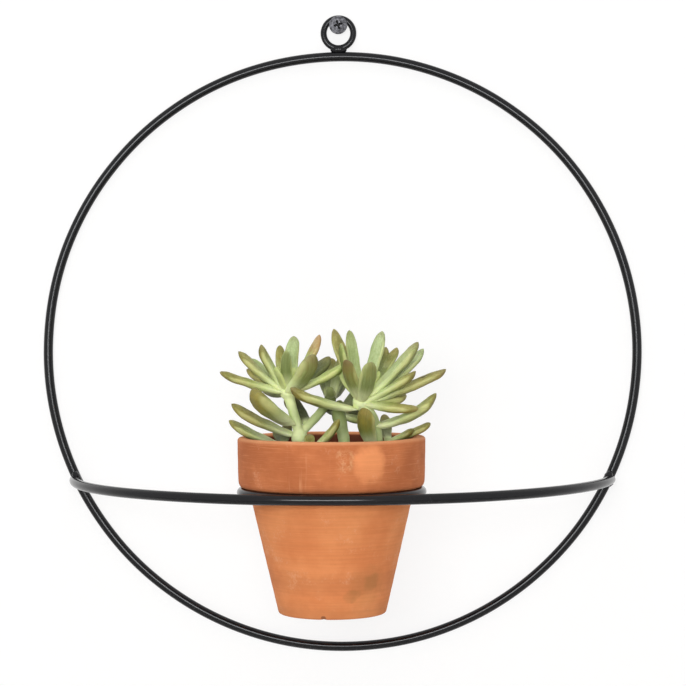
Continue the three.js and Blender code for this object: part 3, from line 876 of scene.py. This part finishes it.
def base_leaf():
    """A leaf one unit long along Y, with its margins at X = -1 and 1 and its upper face to +Z."""

    def point_at(along, round_):
        share = 0.5 - 0.5 * math.cos(math.pi * along)
        width = leaf_width(share) * (1 if 0 < along < 1 else 0)
        angle = FULL_TURN * round_
        across = math.cos(angle)
        belly = abs(math.sin(angle)) ** 0.9
        start = min(1.0, share / 0.12) ** 0.5
        if math.sin(angle) >= 0:
            hollow = 0.16 * (1 - across**2) ** 2 * math.sin(math.pi * min(1, share * 1.1))
            lift = (UPPER * belly - hollow) * width * start
        else:
            keel = 0.08 * (1 - abs(across)) ** 2
            lift = -(LOWER * belly + keel) * width * start
        point = 0.005 if along == 1 else 0.0
        return Vector((across * width, share + point, lift))

    mesh = closed_form("base_leaf", 30, 24, point_at)
    for axis, name in enumerate(("across", "along", "flesh")):
        values = [v.co[axis] for v in mesh.vertices]
        mesh.attributes.new(name, "FLOAT", "POINT").data.foreach_set("value", values)
    return new_object("base_leaf", mesh)


BASE_LEAF = base_leaf()
print("Base leaf:", len(BASE_LEAF.data.polygons), "faces")

# %% Leaf finish
# A leaf's dark look is painted shade, laid on the leaves that stand in shade.
LOOKS = ("tone", "olive", "brown", "blotch", "painted_shade", "young", "rosy", "mark")


def leaf_finish():
    g, place = new_finish("leaf")

    def own(name):
        return g.add("ShaderNodeAttribute", attribute_name=name)["Fac"]

    along, across, flesh, seed = own("along"), own("across"), own("flesh"), own("leaf_seed")
    tone, olive, brown, blotch, painted_shade, young, rosy, mark = (own("leaf_" + look) for look in LOOKS)
    cloud = g.noise(place, 130, 3, 0.6)
    fine = g.noise(place, 900, 3, 0.6)
    streak = g.noise(g.vector(across * 5, along * 1.2, seed * 37), 1.6, 3, 0.6)
    threads = g.noise(g.vector(across * 16, along * 2.6, seed * 71), 1.6, 3, 0.7)
    tip = (along + (streak - 0.5) * 0.5 - (1 - olive)).ramp(-0.2, 0.3) * olive.ramp(0.02, 0.35)
    tip_colour = g.mix(cloud.ramp(0.35, 0.65), (122, 108, 44), (152, 134, 50))
    # The pale margin is partly the leaf's own paler edge and partly a painted highlight.
    margin = across.math("ABSOLUTE").ramp(0.74, 0.96) * along.ramp(0.2, 0.7)
    singe = (along + (cloud - 0.5) * 0.22).ramp(0.86, 1.0) * brown
    flush = (along + (streak - 0.5) * 0.4).ramp(0.55, 0.85) * rosy
    from_mark = ((along - 0.74) / 0.045) ** 2 + ((across - 0.1) / 0.28) ** 2
    spots = (streak * 0.3 + cloud * 0.7 + along * 0.35).ramp(0.64, 0.84) * blotch
    # The pale bloom lies on the upper faces only: partly the leaf's real bloom, partly a painted highlight.
    bloom = (fine * 0.4 + cloud * 0.6).ramp(0.36, 0.7) * flesh.ramp(-0.3, 0.3)
    bloom_and_painted_highlight = bloom * 0.34 + threads.ramp(0.5, 0.3) * bloom * 0.3
    colour = g.layers(
        g.mix(tone, (186, 201, 100), (180, 199, 140)),
        (streak.ramp(0.35, 0.7) * 0.5, (132, 147, 80)),
        (streak.ramp(0.45, 0.2) * 0.4, (222, 232, 168)),
        (threads.ramp(0.5, 0.68) * 0.4, (136, 150, 86)),
        # Painted shade: the lower face of every leaf is made darker olive-green.
        (flesh.ramp(0.1, -0.6) * 0.7, (102, 112, 50)),
        (along.ramp(0.6, 0.1) * 0.9, (243, 250, 192)),
        # Painted shade: the leaves that stand in shade are made dark olive-green.
        (painted_shade * along.ramp(0.0, 0.25), (60, 66, 33)),
        (tip * 0.8, tip_colour),
        (margin * 0.55 * (1 - painted_shade), (216, 216, 146)),
        (singe * 0.85, (104, 78, 46)),
        (flush * 0.7, (196, 136, 98)),
        (from_mark.ramp(1.4, 0.5) * mark, (58, 44, 26)),
        (spots * 0.6, (120, 104, 60)),
        (bloom_and_painted_highlight * (1 - painted_shade * 0.8) * (1 - tip * 0.55), (230, 238, 192)),
        (young * (1 - painted_shade), g.mix(along, (224, 236, 160), (214, 224, 150))),
        (fine.ramp(0.7, 0.82) * 0.25, (112, 104, 62)),
    )
    return dress(
        g,
        Base_Color=colour,
        Roughness=0.48 + cloud * 0.18,
        Normal=g.bump(cloud * 0.6 + fine * 0.2 + streak * 1.2 + threads * 0.3, 1.4 * MM, 0.6),
        Subsurface_Weight=0.12,
        Subsurface_Radius=(0.6, 0.9, 0.25),
        Subsurface_Scale=3 * MM,
        Specular_IOR_Level=0.4,
    )


LEAF = leaf_finish()


# %% Leaf tree
def leaf_tree():
    g, given = node_tree("leaves", {"Geometry": "Geometry", "Leaf": "Object", "Finish": "Material"})
    leaf = g.add("GeometryNodeObjectInfo", {"Object": given["Leaf"]})["Geometry"]

    def named(name, kind="FLOAT_VECTOR"):
        return g.add("GeometryNodeInputNamedAttribute", {"Name": name}, data_type=kind)

    turn = g.add("FunctionNodeEulerToRotation", {"Euler": named("leaf_turn")})
    laid = {"Points": given["Geometry"], "Instance": leaf, "Rotation": turn, "Scale": named("leaf_size")}
    copies = g.add("GeometryNodeInstanceOnPoints", laid)
    copies = g.add("GeometryNodeRealizeInstances", {"Geometry": copies})
    share = named("along", "FLOAT")
    arch = g.vector_math("SCALE", named("leaf_arch"), (share - share * share) * 4)
    swerve = g.vector_math("SCALE", named("leaf_swerve"), share * share)
    bent = {"Geometry": copies, "Offset": g.vector_math("ADD", arch, swerve)}
    bent = g.add("GeometryNodeSetPosition", bent)
    lumps = push(g, 85, 2, share.ramp(0.1, 0.4) * 0.0022)
    bent = g.add("GeometryNodeSetPosition", {"Geometry": bent, "Offset": lumps})
    return close_tree(g, g.add("GeometryNodeSetShadeSmooth", {"Geometry": bent}), given["Finish"])


LEAF_TREE = leaf_tree()

# %% [markdown]
# ## Shoots
# A shoot is a few stems, the knots at their heads and the leaves that grow from them. The leaves could be
# strewn at random, but a planter is known by its plants, so each leaf in sight has a row in a table. The row
# gives its turn round from the right in the plane of the wall, its lean towards the room, its length and
# width as shares of the longest leaf, and its colours: tone from yellow-green to blue-green, how far olive
# reaches from the tip, and how brown the tip is. Rarer things, such as a blotch or an arch, follow by name.

# %% Places and rules for leaves
LONGEST = 50 * MM


def spot(right, back, up):
    """A place over the pot, as shares of the radius of its mouth."""
    return Vector((right, back, up)) * MOUTH


def root(right, back):
    """A place under the soil, as shares of the radius of the pot's mouth."""
    return Vector((right * MOUTH, back * MOUTH, -24 * MM))


def back_fan(start, end, count, lean, length, width):
    """Rows for the leaves at the back of a rosette, which are shaded and by turns a little shorter."""
    rows = []
    for n in range(count):
        share = n / (count - 1)
        taper = 1 if n % 2 == 0 else 0.9
        row = (start + share * (end - start), lean * taper, length * taper, width)
        # The back leaves get painted shade.
        rows.append((*row, 0.4, 0.3, 0.2, {"painted_shade": 0.8}))
    return rows


def young_leaves(seed, count, longest, lean_to_room, shade=0.0):
    """Rows for the small leaves that crowd a rosette's middle, bright, or dim where it stands in shade."""
    rng = np.random.default_rng(seed)
    rows = []
    for n in range(count):
        turn = math.radians(360 * n * 0.382 + rng.uniform(-8, 8))
        rise = math.radians(80 - 30 * n / count)
        out = math.cos(rise)
        direction = Vector((math.cos(turn) * out, math.sin(turn) * out, math.sin(rise)))
        direction.rotate(Matrix.Rotation(math.radians(lean_to_room), 3, "X"))
        lean = math.degrees(math.asin(-direction.y))
        around = math.degrees(math.atan2(direction.z, direction.x))
        length = longest * (0.55 + 0.45 * n / count)
        looks = {"young": 0.9 - 0.5 * n / count, "painted_shade": shade}
        rows.append((around, lean, length, 0.1, 0.3, 0.0, 0.0, looks))
    return rows


LEFT_HEART = spot(-0.501, -0.283, 0.545)
MIDDLE_HEART = spot(-0.022, 0.109, 0.436)
RIGHT_HEART = spot(0.37, -0.305, 0.425)
LEFT_FORK = spot(-0.37, -0.24, 0.044)
MIDDLE_TOP = spot(0.087, -0.044, 0.283)
FRONT_FOOT = spot(-0.218, -0.501, -0.153)
LOW_LEFT = spot(-0.588, -0.044, -0.109)
LOW_RIGHT = spot(0.675, 0.174, -0.065)
print("Longest leaf:", LONGEST, "m")

# %% Tables of the shoots
SHOOTS = {
    "shoot_left": {
        "stems": [
            ([root(-0.327, -0.196), spot(-0.37, -0.218, -0.174), LEFT_FORK], 0.074),
            ([LEFT_FORK, spot(-0.425, -0.261, 0.261), LEFT_HEART], 0.057),
            ([LEFT_FORK, spot(-0.174, -0.087, 0.24), MIDDLE_HEART], 0.05),
        ],
        # A head's last number paints light on the stems near it when above 0 and shade when below 0.
        "heads": [(LEFT_HEART, 0.092, 1.0), (LEFT_FORK, 0.083, 0.7), (MIDDLE_HEART, 0.074, -1.0)],
        "leaves": [
            (LEFT_HEART, [
                (139, 5, 0.7, 0.15, 0.6, 0.45, 0.3),
                (141, -24, 0.62, 0.14, 0.9, 0.1, 0.15),
                (119, 10, 0.6, 0.15, 0.7, 0.35, 0.4),
                (103, -22, 0.56, 0.13, 0.3, 0.5, 0.2),
                (91, 28, 0.52, 0.12, 0.8, 0.1, 0.1),
                (86, -15, 0.64, 0.16, 1.0, 0.12, 0.5),
                (162, 15, 0.78, 0.15, 0.2, 0.5, 0.5),
                (153, -32, 0.64, 0.14, 0.1, 0.6, 0.3, {"painted_shade": 0.5}),
                (54, 34, 0.62, 0.26, 0.6, 0.22, 0.6, {"blotch": 0.5}),
                (61, -6, 0.72, 0.13, 0.4, 0.2, 0.5, {"rosy": 0.9}),
                (40, -30, 0.68, 0.18, 0.5, 0.2, 0.1, {"painted_shade": 0.8}),
                (26, 6, 0.72, 0.15, 0.1, 0.0, 0.0),
                *back_fan(70, 175, 4, -58, 0.54, 0.15),
                *young_leaves(11, 9, 0.4, 6),
            ]),
            (spot(-0.436, -0.261, 0.174), [(137, 34, 0.68, 0.29, 0.5, 0.4, 0.15, {"painted_shade": 0.22})]),
            (spot(-0.392, -0.218, 0.022), [(155, -6, 0.82, 0.16, 0.2, 0.6, 0.2, {"painted_shade": 0.28})]),
            (spot(-0.261, -0.131, 0.153), [(129, -30, 0.48, 0.18, 0.4, 0.3, 0.1, {"painted_shade": 1.0})]),
            (MIDDLE_HEART, [
                (67, -22, 0.52, 0.14, 0.5, 0.3, 0.1, {"painted_shade": 0.6}),
                (88, -30, 0.54, 0.14, 0.5, 0.3, 0.2, {"painted_shade": 0.6}),
                (76, -8, 0.54, 0.13, 0.5, 0.3, 0.1, {"painted_shade": 0.25}),
                (110, -48, 0.5, 0.14, 0.4, 0.3, 0.1, {"painted_shade": 0.7}),
                (60, -58, 0.52, 0.14, 0.4, 0.3, 0.1, {"painted_shade": 0.8}),
                *young_leaves(12, 3, 0.22, 5, 0.6),
            ]),
        ],
    },
    "shoot_right": {
        "stems": [(
            [root(0.545, -0.174), spot(0.566, -0.24, -0.087), spot(0.523, -0.283, 0.196), RIGHT_HEART],
            0.061,
        )],
        "heads": [(RIGHT_HEART, 0.1, 1.0)],
        "leaves": [
            (RIGHT_HEART, [
                (112, -14, 0.88, 0.15, 0.3, 0.7, 0.5),
                (98.5, -4, 0.8, 0.14, 0.8, 0.2, 0.35),
                (106.5, 20, 0.72, 0.13, 0.3, 0.1, 0.0),
                (105, 42, 0.66, 0.16, 0.4, 0.35, 0.9, {"blotch": 0.9}),
                (74.5, -10, 0.82, 0.16, 1.0, 0.1, 0.4),
                (64.5, -32, 0.78, 0.14, 0.3, 0.3, 0.2, {"painted_shade": 0.5}),
                (56, -28, 0.8, 0.14, 0.3, 0.3, 0.2, {"painted_shade": 0.4}),
                (46, 2, 0.91, 0.18, 0.9, 0.25, 0.5),
                (40, -14, 0.92, 0.16, 1.0, 0.05, 0.3),
                (74, 46, 0.66, 0.19, 0.8, 0.2, 0.3),
                (29, 16, 0.72, 0.15, 0.4, 0.35, 0.5),
                (21, -3, 1.0, 0.16, 0.3, 0.6, 0.6, {"blotch": 0.3, "mark": 0.9, "arch": 0.03}),
                (8, -24, 0.54, 0.2, 0.2, 0.5, 0.2),
                (-5, 22, 0.68, 0.16, 0.1, 0.55, 0.5),
                *back_fan(15, 100, 4, -55, 0.6, 0.15),
                *young_leaves(21, 10, 0.44, 8),
            ]),
            (spot(0.327, -0.344, 0.349), [(161, 24, 0.82, 0.17, 0.4, 0.45, 0.6, {"arch": 0.04})]),
            (spot(0.48, -0.272, 0.14), [(26, 10, 0.82, 0.18, 0.5, 0.3, 0.2, {"arch": 0.09})]),
            (spot(0.5, -0.3, -0.1), [(99, 36, 0.54, 0.2, 0.1, 0.42, 0.4)]),
        ],
    },
    "shoot_middle": {
        "stems": [([root(0.174, -0.087), spot(0.163, -0.087, -0.087), MIDDLE_TOP], 0.065)],
        "heads": [(MIDDLE_TOP, 0.078, -0.6)],
        "leaves": [(MIDDLE_TOP, [
            (48, -34, 0.54, 0.16, 0.5, 0.3, 0.2, {"painted_shade": 0.75}),
            (12, -50, 0.52, 0.16, 0.5, 0.3, 0.2, {"painted_shade": 0.9}),
            (-14, -18, 0.36, 0.14, 0.4, 0.3, 0.2, {"painted_shade": 0.3}),
            (150, -62, 0.44, 0.14, 0.5, 0.3, 0.2, {"painted_shade": 0.9}),
            *young_leaves(31, 3, 0.2, 0, 0.8),
        ])],
    },
    "shoot_front": {
        "stems": [([root(-0.196, -0.523), spot(-0.218, -0.523, -0.261), FRONT_FOOT], 0.044)],
        "heads": [(FRONT_FOOT, 0.057, 0.3)],
        "leaves": [(FRONT_FOOT, [
            (48, 8, 0.48, 0.14, 0.0, 0.5, 0.1),
            (92, 12, 0.2, 0.11, 0.2, 0.6, 0.8),
            (20, -35, 0.32, 0.12, 0.2, 0.4, 0.1, {"painted_shade": 0.7}),
        ])],
    },
    "shoot_low_left": {
        "stems": [([root(-0.588, -0.044), spot(-0.588, -0.044, -0.305), LOW_LEFT], 0.044)],
        "heads": [(LOW_LEFT, 0.057, 0.3)],
        "leaves": [(LOW_LEFT, [
            (154, 3, 0.66, 0.15, 0.3, 0.3, 0.1, {"painted_shade": 0.2}),
            (80, -45, 0.36, 0.12, 0.4, 0.3, 0.1, {"painted_shade": 0.9}),
            (120, -62, 0.4, 0.12, 0.4, 0.3, 0.1, {"painted_shade": 0.9}),
        ])],
    },
    "shoot_low_right": {
        "stems": [([root(0.675, 0.174), spot(0.675, 0.174, -0.305), LOW_RIGHT], 0.044)],
        "heads": [(LOW_RIGHT, 0.057, 0.3)],
        "leaves": [(LOW_RIGHT, [
            (24, 6, 0.52, 0.13, 0.0, 0.5, 0.3),
            (27, 28, 0.36, 0.12, 0.2, 0.4, 0.3),
            (100, -50, 0.44, 0.13, 0.4, 0.3, 0.2, {"painted_shade": 0.7}),
        ])],
    },
}
print("Leaf rows:", sum(len(rows) for shoot in SHOOTS.values() for _, rows in shoot["leaves"]))

# %% Leaves from the tables
SKYWARD = Vector((0, -0.3, 1)).normalized()


def leaf_frame(turn, lean):
    """The way a leaf points and the way its upper face looks."""
    turn, lean = math.radians(turn), math.radians(lean)
    way = Vector((math.cos(lean) * math.cos(turn), -math.sin(lean), math.cos(lean) * math.sin(turn)))
    face = (SKYWARD - way * SKYWARD.dot(way)).normalized()
    return way, face


def points_with(name, places, attributes):
    """A mesh of loose points that carries named attributes, floats or vectors."""
    mesh = bpy.data.meshes.new(name)
    mesh.from_pydata([tuple(p) for p in places], [], [])
    for label, values in attributes.items():
        if isinstance(values[0], (tuple, Vector)):
            flat = [c for value in values for c in value]
            mesh.attributes.new(label, "FLOAT_VECTOR", "POINT").data.foreach_set("vector", flat)
        else:
            mesh.attributes.new(label, "FLOAT", "POINT").data.foreach_set("value", values)
    return mesh


def build_leaves(name, tufts, seed):
    rng = np.random.default_rng(seed)
    places = []
    columns = {key: [] for key in ("turn", "size", "arch", "swerve", "seed", *LOOKS)}
    for foot, rows in tufts:
        for turn, lean, length, width, tone, olive, brown, *more in rows:
            look = {"tone": tone, "olive": olive, "brown": brown, **(more[0] if more else {})}
            way, face = leaf_frame(turn, lean)
            side = way.cross(face)
            places.append(foot + POT)
            half_width = width * LONGEST / 2
            columns["turn"].append(tuple(Matrix((side, way, face)).transposed().to_euler()))
            columns["size"].append((half_width, length * LONGEST, half_width))
            arch = look.get("arch", rng.uniform(0.018, 0.036))
            swerve = rng.uniform(-0.03, 0.03)
            columns["arch"].append(face * (-arch * length * LONGEST))
            columns["swerve"].append(side * (swerve * length * LONGEST))
            columns["seed"].append(float(rng.uniform(0, 1)))
            for key in LOOKS:
                columns[key].append(float(look.get(key, 0.0)))
    attributes = {"leaf_" + key: values for key, values in columns.items()}
    start = points_with(name, places, attributes)
    leaves = grown(name + "_leaves", LEAF_TREE, {"Leaf": BASE_LEAF, "Finish": LEAF}, start)
    settle(leaves, "pot", "leaf", name)


print("Looks that a leaf carries:", *LOOKS)

# %% [markdown]
# ## Stems
# A stem follows its own path, so Geometry Nodes sweeps a round section along a curve. Old leaves have left
# scars round it, which swell and pinch it, and it is pale green above and corky brown near the soil. A knot
# of the same flesh sits at each head. Pieces that only overlap show a hard line where they meet, so a
# shoot's stems and knots are joined by a voxel remesh and smoothed into one body. Each vertex then stores
# how bright the heads near it are, because light falls on the front heads and the middle is in shade.


# %% Stem finish
def stem_finish():
    g, place = new_finish("stem")
    height = g.parts(place)["Z"] - POT.z
    cloud = g.noise(place, 220, 4, 0.6)
    bands = g.noise(g.vector(0.0, 0.0, height * 700), 1.0, 2, 0.6)
    head = g.add("ShaderNodeAttribute", attribute_name="head")["Fac"]
    near_soil = (height + (cloud - 0.5) * 0.01).ramp(-0.004, -0.016)
    colour = g.layers(
        g.mix(cloud, (172, 190, 122), (196, 208, 150)),
        # Painted light on the stems near a lit head, and painted shade near a shaded one.
        (head.ramp(0.0, 0.75), (236, 245, 184)),
        (head.ramp(0.0, -0.6), (106, 118, 60)),
        (near_soil, g.mix(cloud, (112, 88, 58), (150, 124, 84))),
        (bands.ramp(0.6, 0.68) * 0.22, (150, 140, 84)),
    )
    return dress(
        g,
        Base_Color=colour,
        Roughness=0.5 + cloud * 0.2,
        Normal=g.bump(cloud + bands, 0.6 * MM, 0.5),
        Subsurface_Weight=0.1,
        Subsurface_Radius=(0.6, 0.8, 0.3),
        Subsurface_Scale=2 * MM,
    )


STEM = stem_finish()


# %% Stem tree
def stem_tree():
    g, given = node_tree("stem", {
        "Geometry": "Geometry", "Radius": "Float", "Sides": "Int", "Finish": "Material",
    })
    path = g.add("GeometryNodeMeshToCurve", {"Mesh": given["Geometry"]})
    path = g.add("GeometryNodeCurveSplineType", {"Curve": path}, spline_type="CATMULL_ROM")
    path = g.add("GeometryNodeResampleCurve", {"Curve": path, "Count": 60})
    section = g.add("GeometryNodeCurvePrimitiveCircle", {"Resolution": given["Sides"], "Radius": 1.0})
    here = g.add("GeometryNodeInputPosition")
    scars = (g.parts(here)["Z"] * 1700).math("SINE") * 0.02 + g.noise(here, 110, 1) * 0.3
    scars = scars + g.add("GeometryNodeSplineParameter")["Factor"].ramp(0.6, 1.0) * 0.2 + 0.92
    swept = {"Curve": path, "Profile Curve": section, "Fill Caps": True, "Scale": scars * given["Radius"]}
    stem = g.add("GeometryNodeCurveToMesh", swept)
    return close_tree(g, g.add("GeometryNodeSetShadeSmooth", {"Geometry": stem}), given["Finish"])


STEM_TREE = stem_tree()


# %% Stems and knots
def stem_along(name, path, radius):
    mesh = bpy.data.meshes.new(name)
    edges = [(k, k + 1) for k in range(len(path) - 1)]
    mesh.from_pydata([tuple(p + POT) for p in path], edges, [])
    return grown(name, STEM_TREE, {"Radius": radius * MOUTH, "Sides": 20, "Finish": STEM}, mesh)


def knot_at(name, place, radius):
    """A lumpy ball of flesh."""

    def point_at(along, round_):
        rise, turn = math.pi * along, FULL_TURN * round_
        out = math.sin(rise)
        way = Vector((out * math.cos(turn), out * math.sin(turn), -math.cos(rise)))
        lump = 1 + 0.05 * math.sin(3 * turn + 5 * rise) * out
        return place + POT + way * (radius * MOUTH * lump)

    return new_object(name, closed_form(name, 24, 32, point_at))


def grown_together(name, parts):
    """One body of flesh from overlapping stems and knots, with soft hollows where they meet."""
    whole = bmesh.new()
    for part in parts:
        whole.from_mesh(part.data)
        bpy.data.objects.remove(part)
    mesh = bpy.data.meshes.new(name)
    whole.to_mesh(mesh)
    whole.free()
    flesh = new_object(name, mesh)
    merge = flesh.modifiers.new("merge", "REMESH")
    merge.mode, merge.voxel_size, merge.use_smooth_shade = "VOXEL", 0.42 * MM, True
    relax = flesh.modifiers.new("relax", "SMOOTH")
    relax.factor, relax.iterations = 0.5, 14
    flesh.data = evaluated_mesh(flesh)
    flesh.data.materials.clear()
    flesh.data.materials.append(STEM)
    return flesh


print("Stems are joined at a grain of 0.42 mm")

# %% Build the shoots
HEAD_GLOW = 14 * MM  # how far a head's light or shade reaches


def mark_heads(flesh, heads):
    """Stores the heads' light at every vertex: above 0 near a bright head and below 0 near a shaded one."""
    places = np.empty(len(flesh.data.vertices) * 3)
    flesh.data.vertices.foreach_get("co", places)
    places = places.reshape(-1, 3)
    light = np.zeros(len(places))
    for place, _, glow in heads:
        distance = np.linalg.norm(places - np.array(place + POT), axis=1)
        light += glow * np.clip(1 - distance / HEAD_GLOW, 0, 1)
    flesh.data.attributes.new("head", "FLOAT", "POINT").data.foreach_set("value", light)


def build_shoots():
    for seed, (name, shoot) in enumerate(SHOOTS.items()):
        build_leaves(name, shoot["leaves"], seed)
        parts = [stem_along(f"{name}_stem_{k}", *stem) for k, stem in enumerate(shoot["stems"])]
        parts += [knot_at(f"{name}_knot_{k}", *head[:2]) for k, head in enumerate(shoot["heads"])]
        flesh = grown_together(name + "_stems", parts)
        mark_heads(flesh, shoot["heads"])
        settle(flesh, "pot", "leaf", name)
    bpy.data.objects.remove(BASE_LEAF)


build_shoots()

# %% [markdown]
# ## Wall, floor and light
# The planter hangs on a plain white wall over a pale floor. A wide lamp near the camera, a little to its
# left, draws the long bright lines on the bars. A broad lamp overhead and a weak one low down soften the
# shadows, and both are hidden from reflections. The lamps are turned down until a colour renders about as
# it is written, so that it looks right under other light too. The wall and the floor are pale by their own
# strength to the camera and to mirror rays, which leaves the object's light alone. They keep its soft
# shadow, and the floor fades to white a few metres away.


# %% Wall and floor
def rays_that_see(graph):
    """1 for camera, mirror and glass rays, and 0 for the rays that light the object."""
    rays = graph.add("ShaderNodeLightPath")
    seen = rays["Is Camera Ray"] + rays["Is Glossy Ray"] + rays["Is Transmission Ray"]
    return seen.math("MINIMUM", 1.0)


def plain_sheet(name, corners, colour, own_light, far_light=0.0):
    """A matt sheet that is seen from its front only, and brighter by far_light a few metres away."""
    g, place = new_finish(name + "_paint")
    matt = g.add("ShaderNodeBsdfDiffuse", {"Color": srgb(*colour)})
    glow = g.add("ShaderNodeEmission", {"Color": (1.0, 1.0, 1.0), "Strength": 1.0})
    distance = g.vector_math("LENGTH", place)["Value"]
    share = rays_that_see(g) * (distance.ramp(1.2, 3.0) * far_light + own_light)
    front = g.add("ShaderNodeMixShader", {0: share, 1: matt, 2: glow})
    back = g.add("ShaderNodeNewGeometry")["Backfacing"]
    clear = g.add("ShaderNodeBsdfTransparent")
    mesh = bpy.data.meshes.new(name)
    mesh.from_pydata(corners, [], [(0, 1, 2, 3)])
    paint = end_finish(g, g.add("ShaderNodeMixShader", {0: back, 1: front, 2: clear}))
    return new_object(name, mesh, paint)


def build_setting():
    wall_y, floor_z = 0.0004, -1
    upright = [(-3, wall_y, floor_z), (3, wall_y, floor_z), (3, wall_y, 2), (-3, wall_y, 2)]
    level = [(-4, -4, floor_z), (4, -4, floor_z), (4, 4, floor_z), (-4, 4, floor_z)]
    wall = plain_sheet("wall", upright, (250, 248, 246), 0.8)
    floor = plain_sheet("floor", level, (238, 236, 233), 0.35, 0.65)


build_setting()


# %% World and lamps
def build_world():
    world = bpy.data.worlds.new("room")
    bpy.context.scene.world = world
    world.use_nodes = True
    world.node_tree.nodes.clear()
    g = Graph(world.node_tree)
    strength = rays_that_see(g) * 0.6 + 0.4
    light = g.add("ShaderNodeBackground", {"Color": (1.0, 1.0, 1.0), "Strength": strength})
    g.add("ShaderNodeOutputWorld", {"Surface": light})


def soft_lamp(name, place, size, power, warmth, mirrored):
    """A rectangular lamp that looks at the middle of the planter."""
    lamp = bpy.data.lights.new(name, "AREA")
    lamp.shape, lamp.energy, lamp.color = "RECTANGLE", power, warmth
    lamp.size, lamp.size_y = size
    holder = new_object(name, lamp)
    holder.location = place
    holder.visible_glossy = mirrored
    aim = Vector((0, -0.06, -0.2))
    holder.rotation_euler = (aim - Vector(place)).to_track_quat("-Z", "Y").to_euler()


build_world()
soft_lamp("key", (-0.1, -1.32, -0.07), (0.72, 0.28), 9.4, (0.96, 0.98, 1.0), True)
soft_lamp("top", (0.0, -0.75, 1.0), (0.9, 0.9), 6.5, (1.0, 0.98, 0.95), False)
soft_lamp("low", (0.1, -1.3, -0.9), (1.2, 1.2), 1.9, (1.0, 1.0, 1.0), False)

# %% [markdown]
# ## Camera
# The camera stands 1.2 m in front of the wall, a little to the right of the planter's middle and a little
# over the bow, and turns back to it. A constraint could aim it at a target, but would leave no say in its
# small roll, so its turn, tip and roll are written as angles and its three axes are worked out from them.

# %% Place the camera
EYE = (0.072, -1.203, -0.1715)
PICTURE = 686  # width and height of the picture in pixels
FOCAL = 2024  # focal length in pixels
SENSOR = 36
YAW = math.atan(-72 / 1200) + 2.9 / FOCAL
PITCH = math.atan(28 / FOCAL)
ROLL = math.radians(-0.3)


def build_camera():
    camera_data = bpy.data.cameras.new("camera")
    camera_data.sensor_width = SENSOR
    camera_data.lens = FOCAL * SENSOR / PICTURE
    camera_data.clip_start = 0.01
    camera = new_object("camera", camera_data)
    ahead = Vector((math.sin(YAW), math.cos(YAW), 0))
    right = Vector((math.cos(YAW), -math.sin(YAW), 0))
    up = Vector((0, 0, 1))
    level = up * math.cos(PITCH) + ahead * math.sin(PITCH)
    ahead = ahead * math.cos(PITCH) - up * math.sin(PITCH)
    axis_x = right * math.cos(ROLL) + level * math.sin(ROLL)
    axis_y = level * math.cos(ROLL) - right * math.sin(ROLL)
    turned_to = Matrix((axis_x, axis_y, -ahead)).transposed().to_4x4()
    camera.matrix_world = Matrix.Translation(EYE) @ turned_to
    bpy.context.scene.camera = camera
    bpy.context.scene.view_settings.view_transform = "Standard"
    print("Lens:", round(camera_data.lens, 1), "mm")


build_camera()
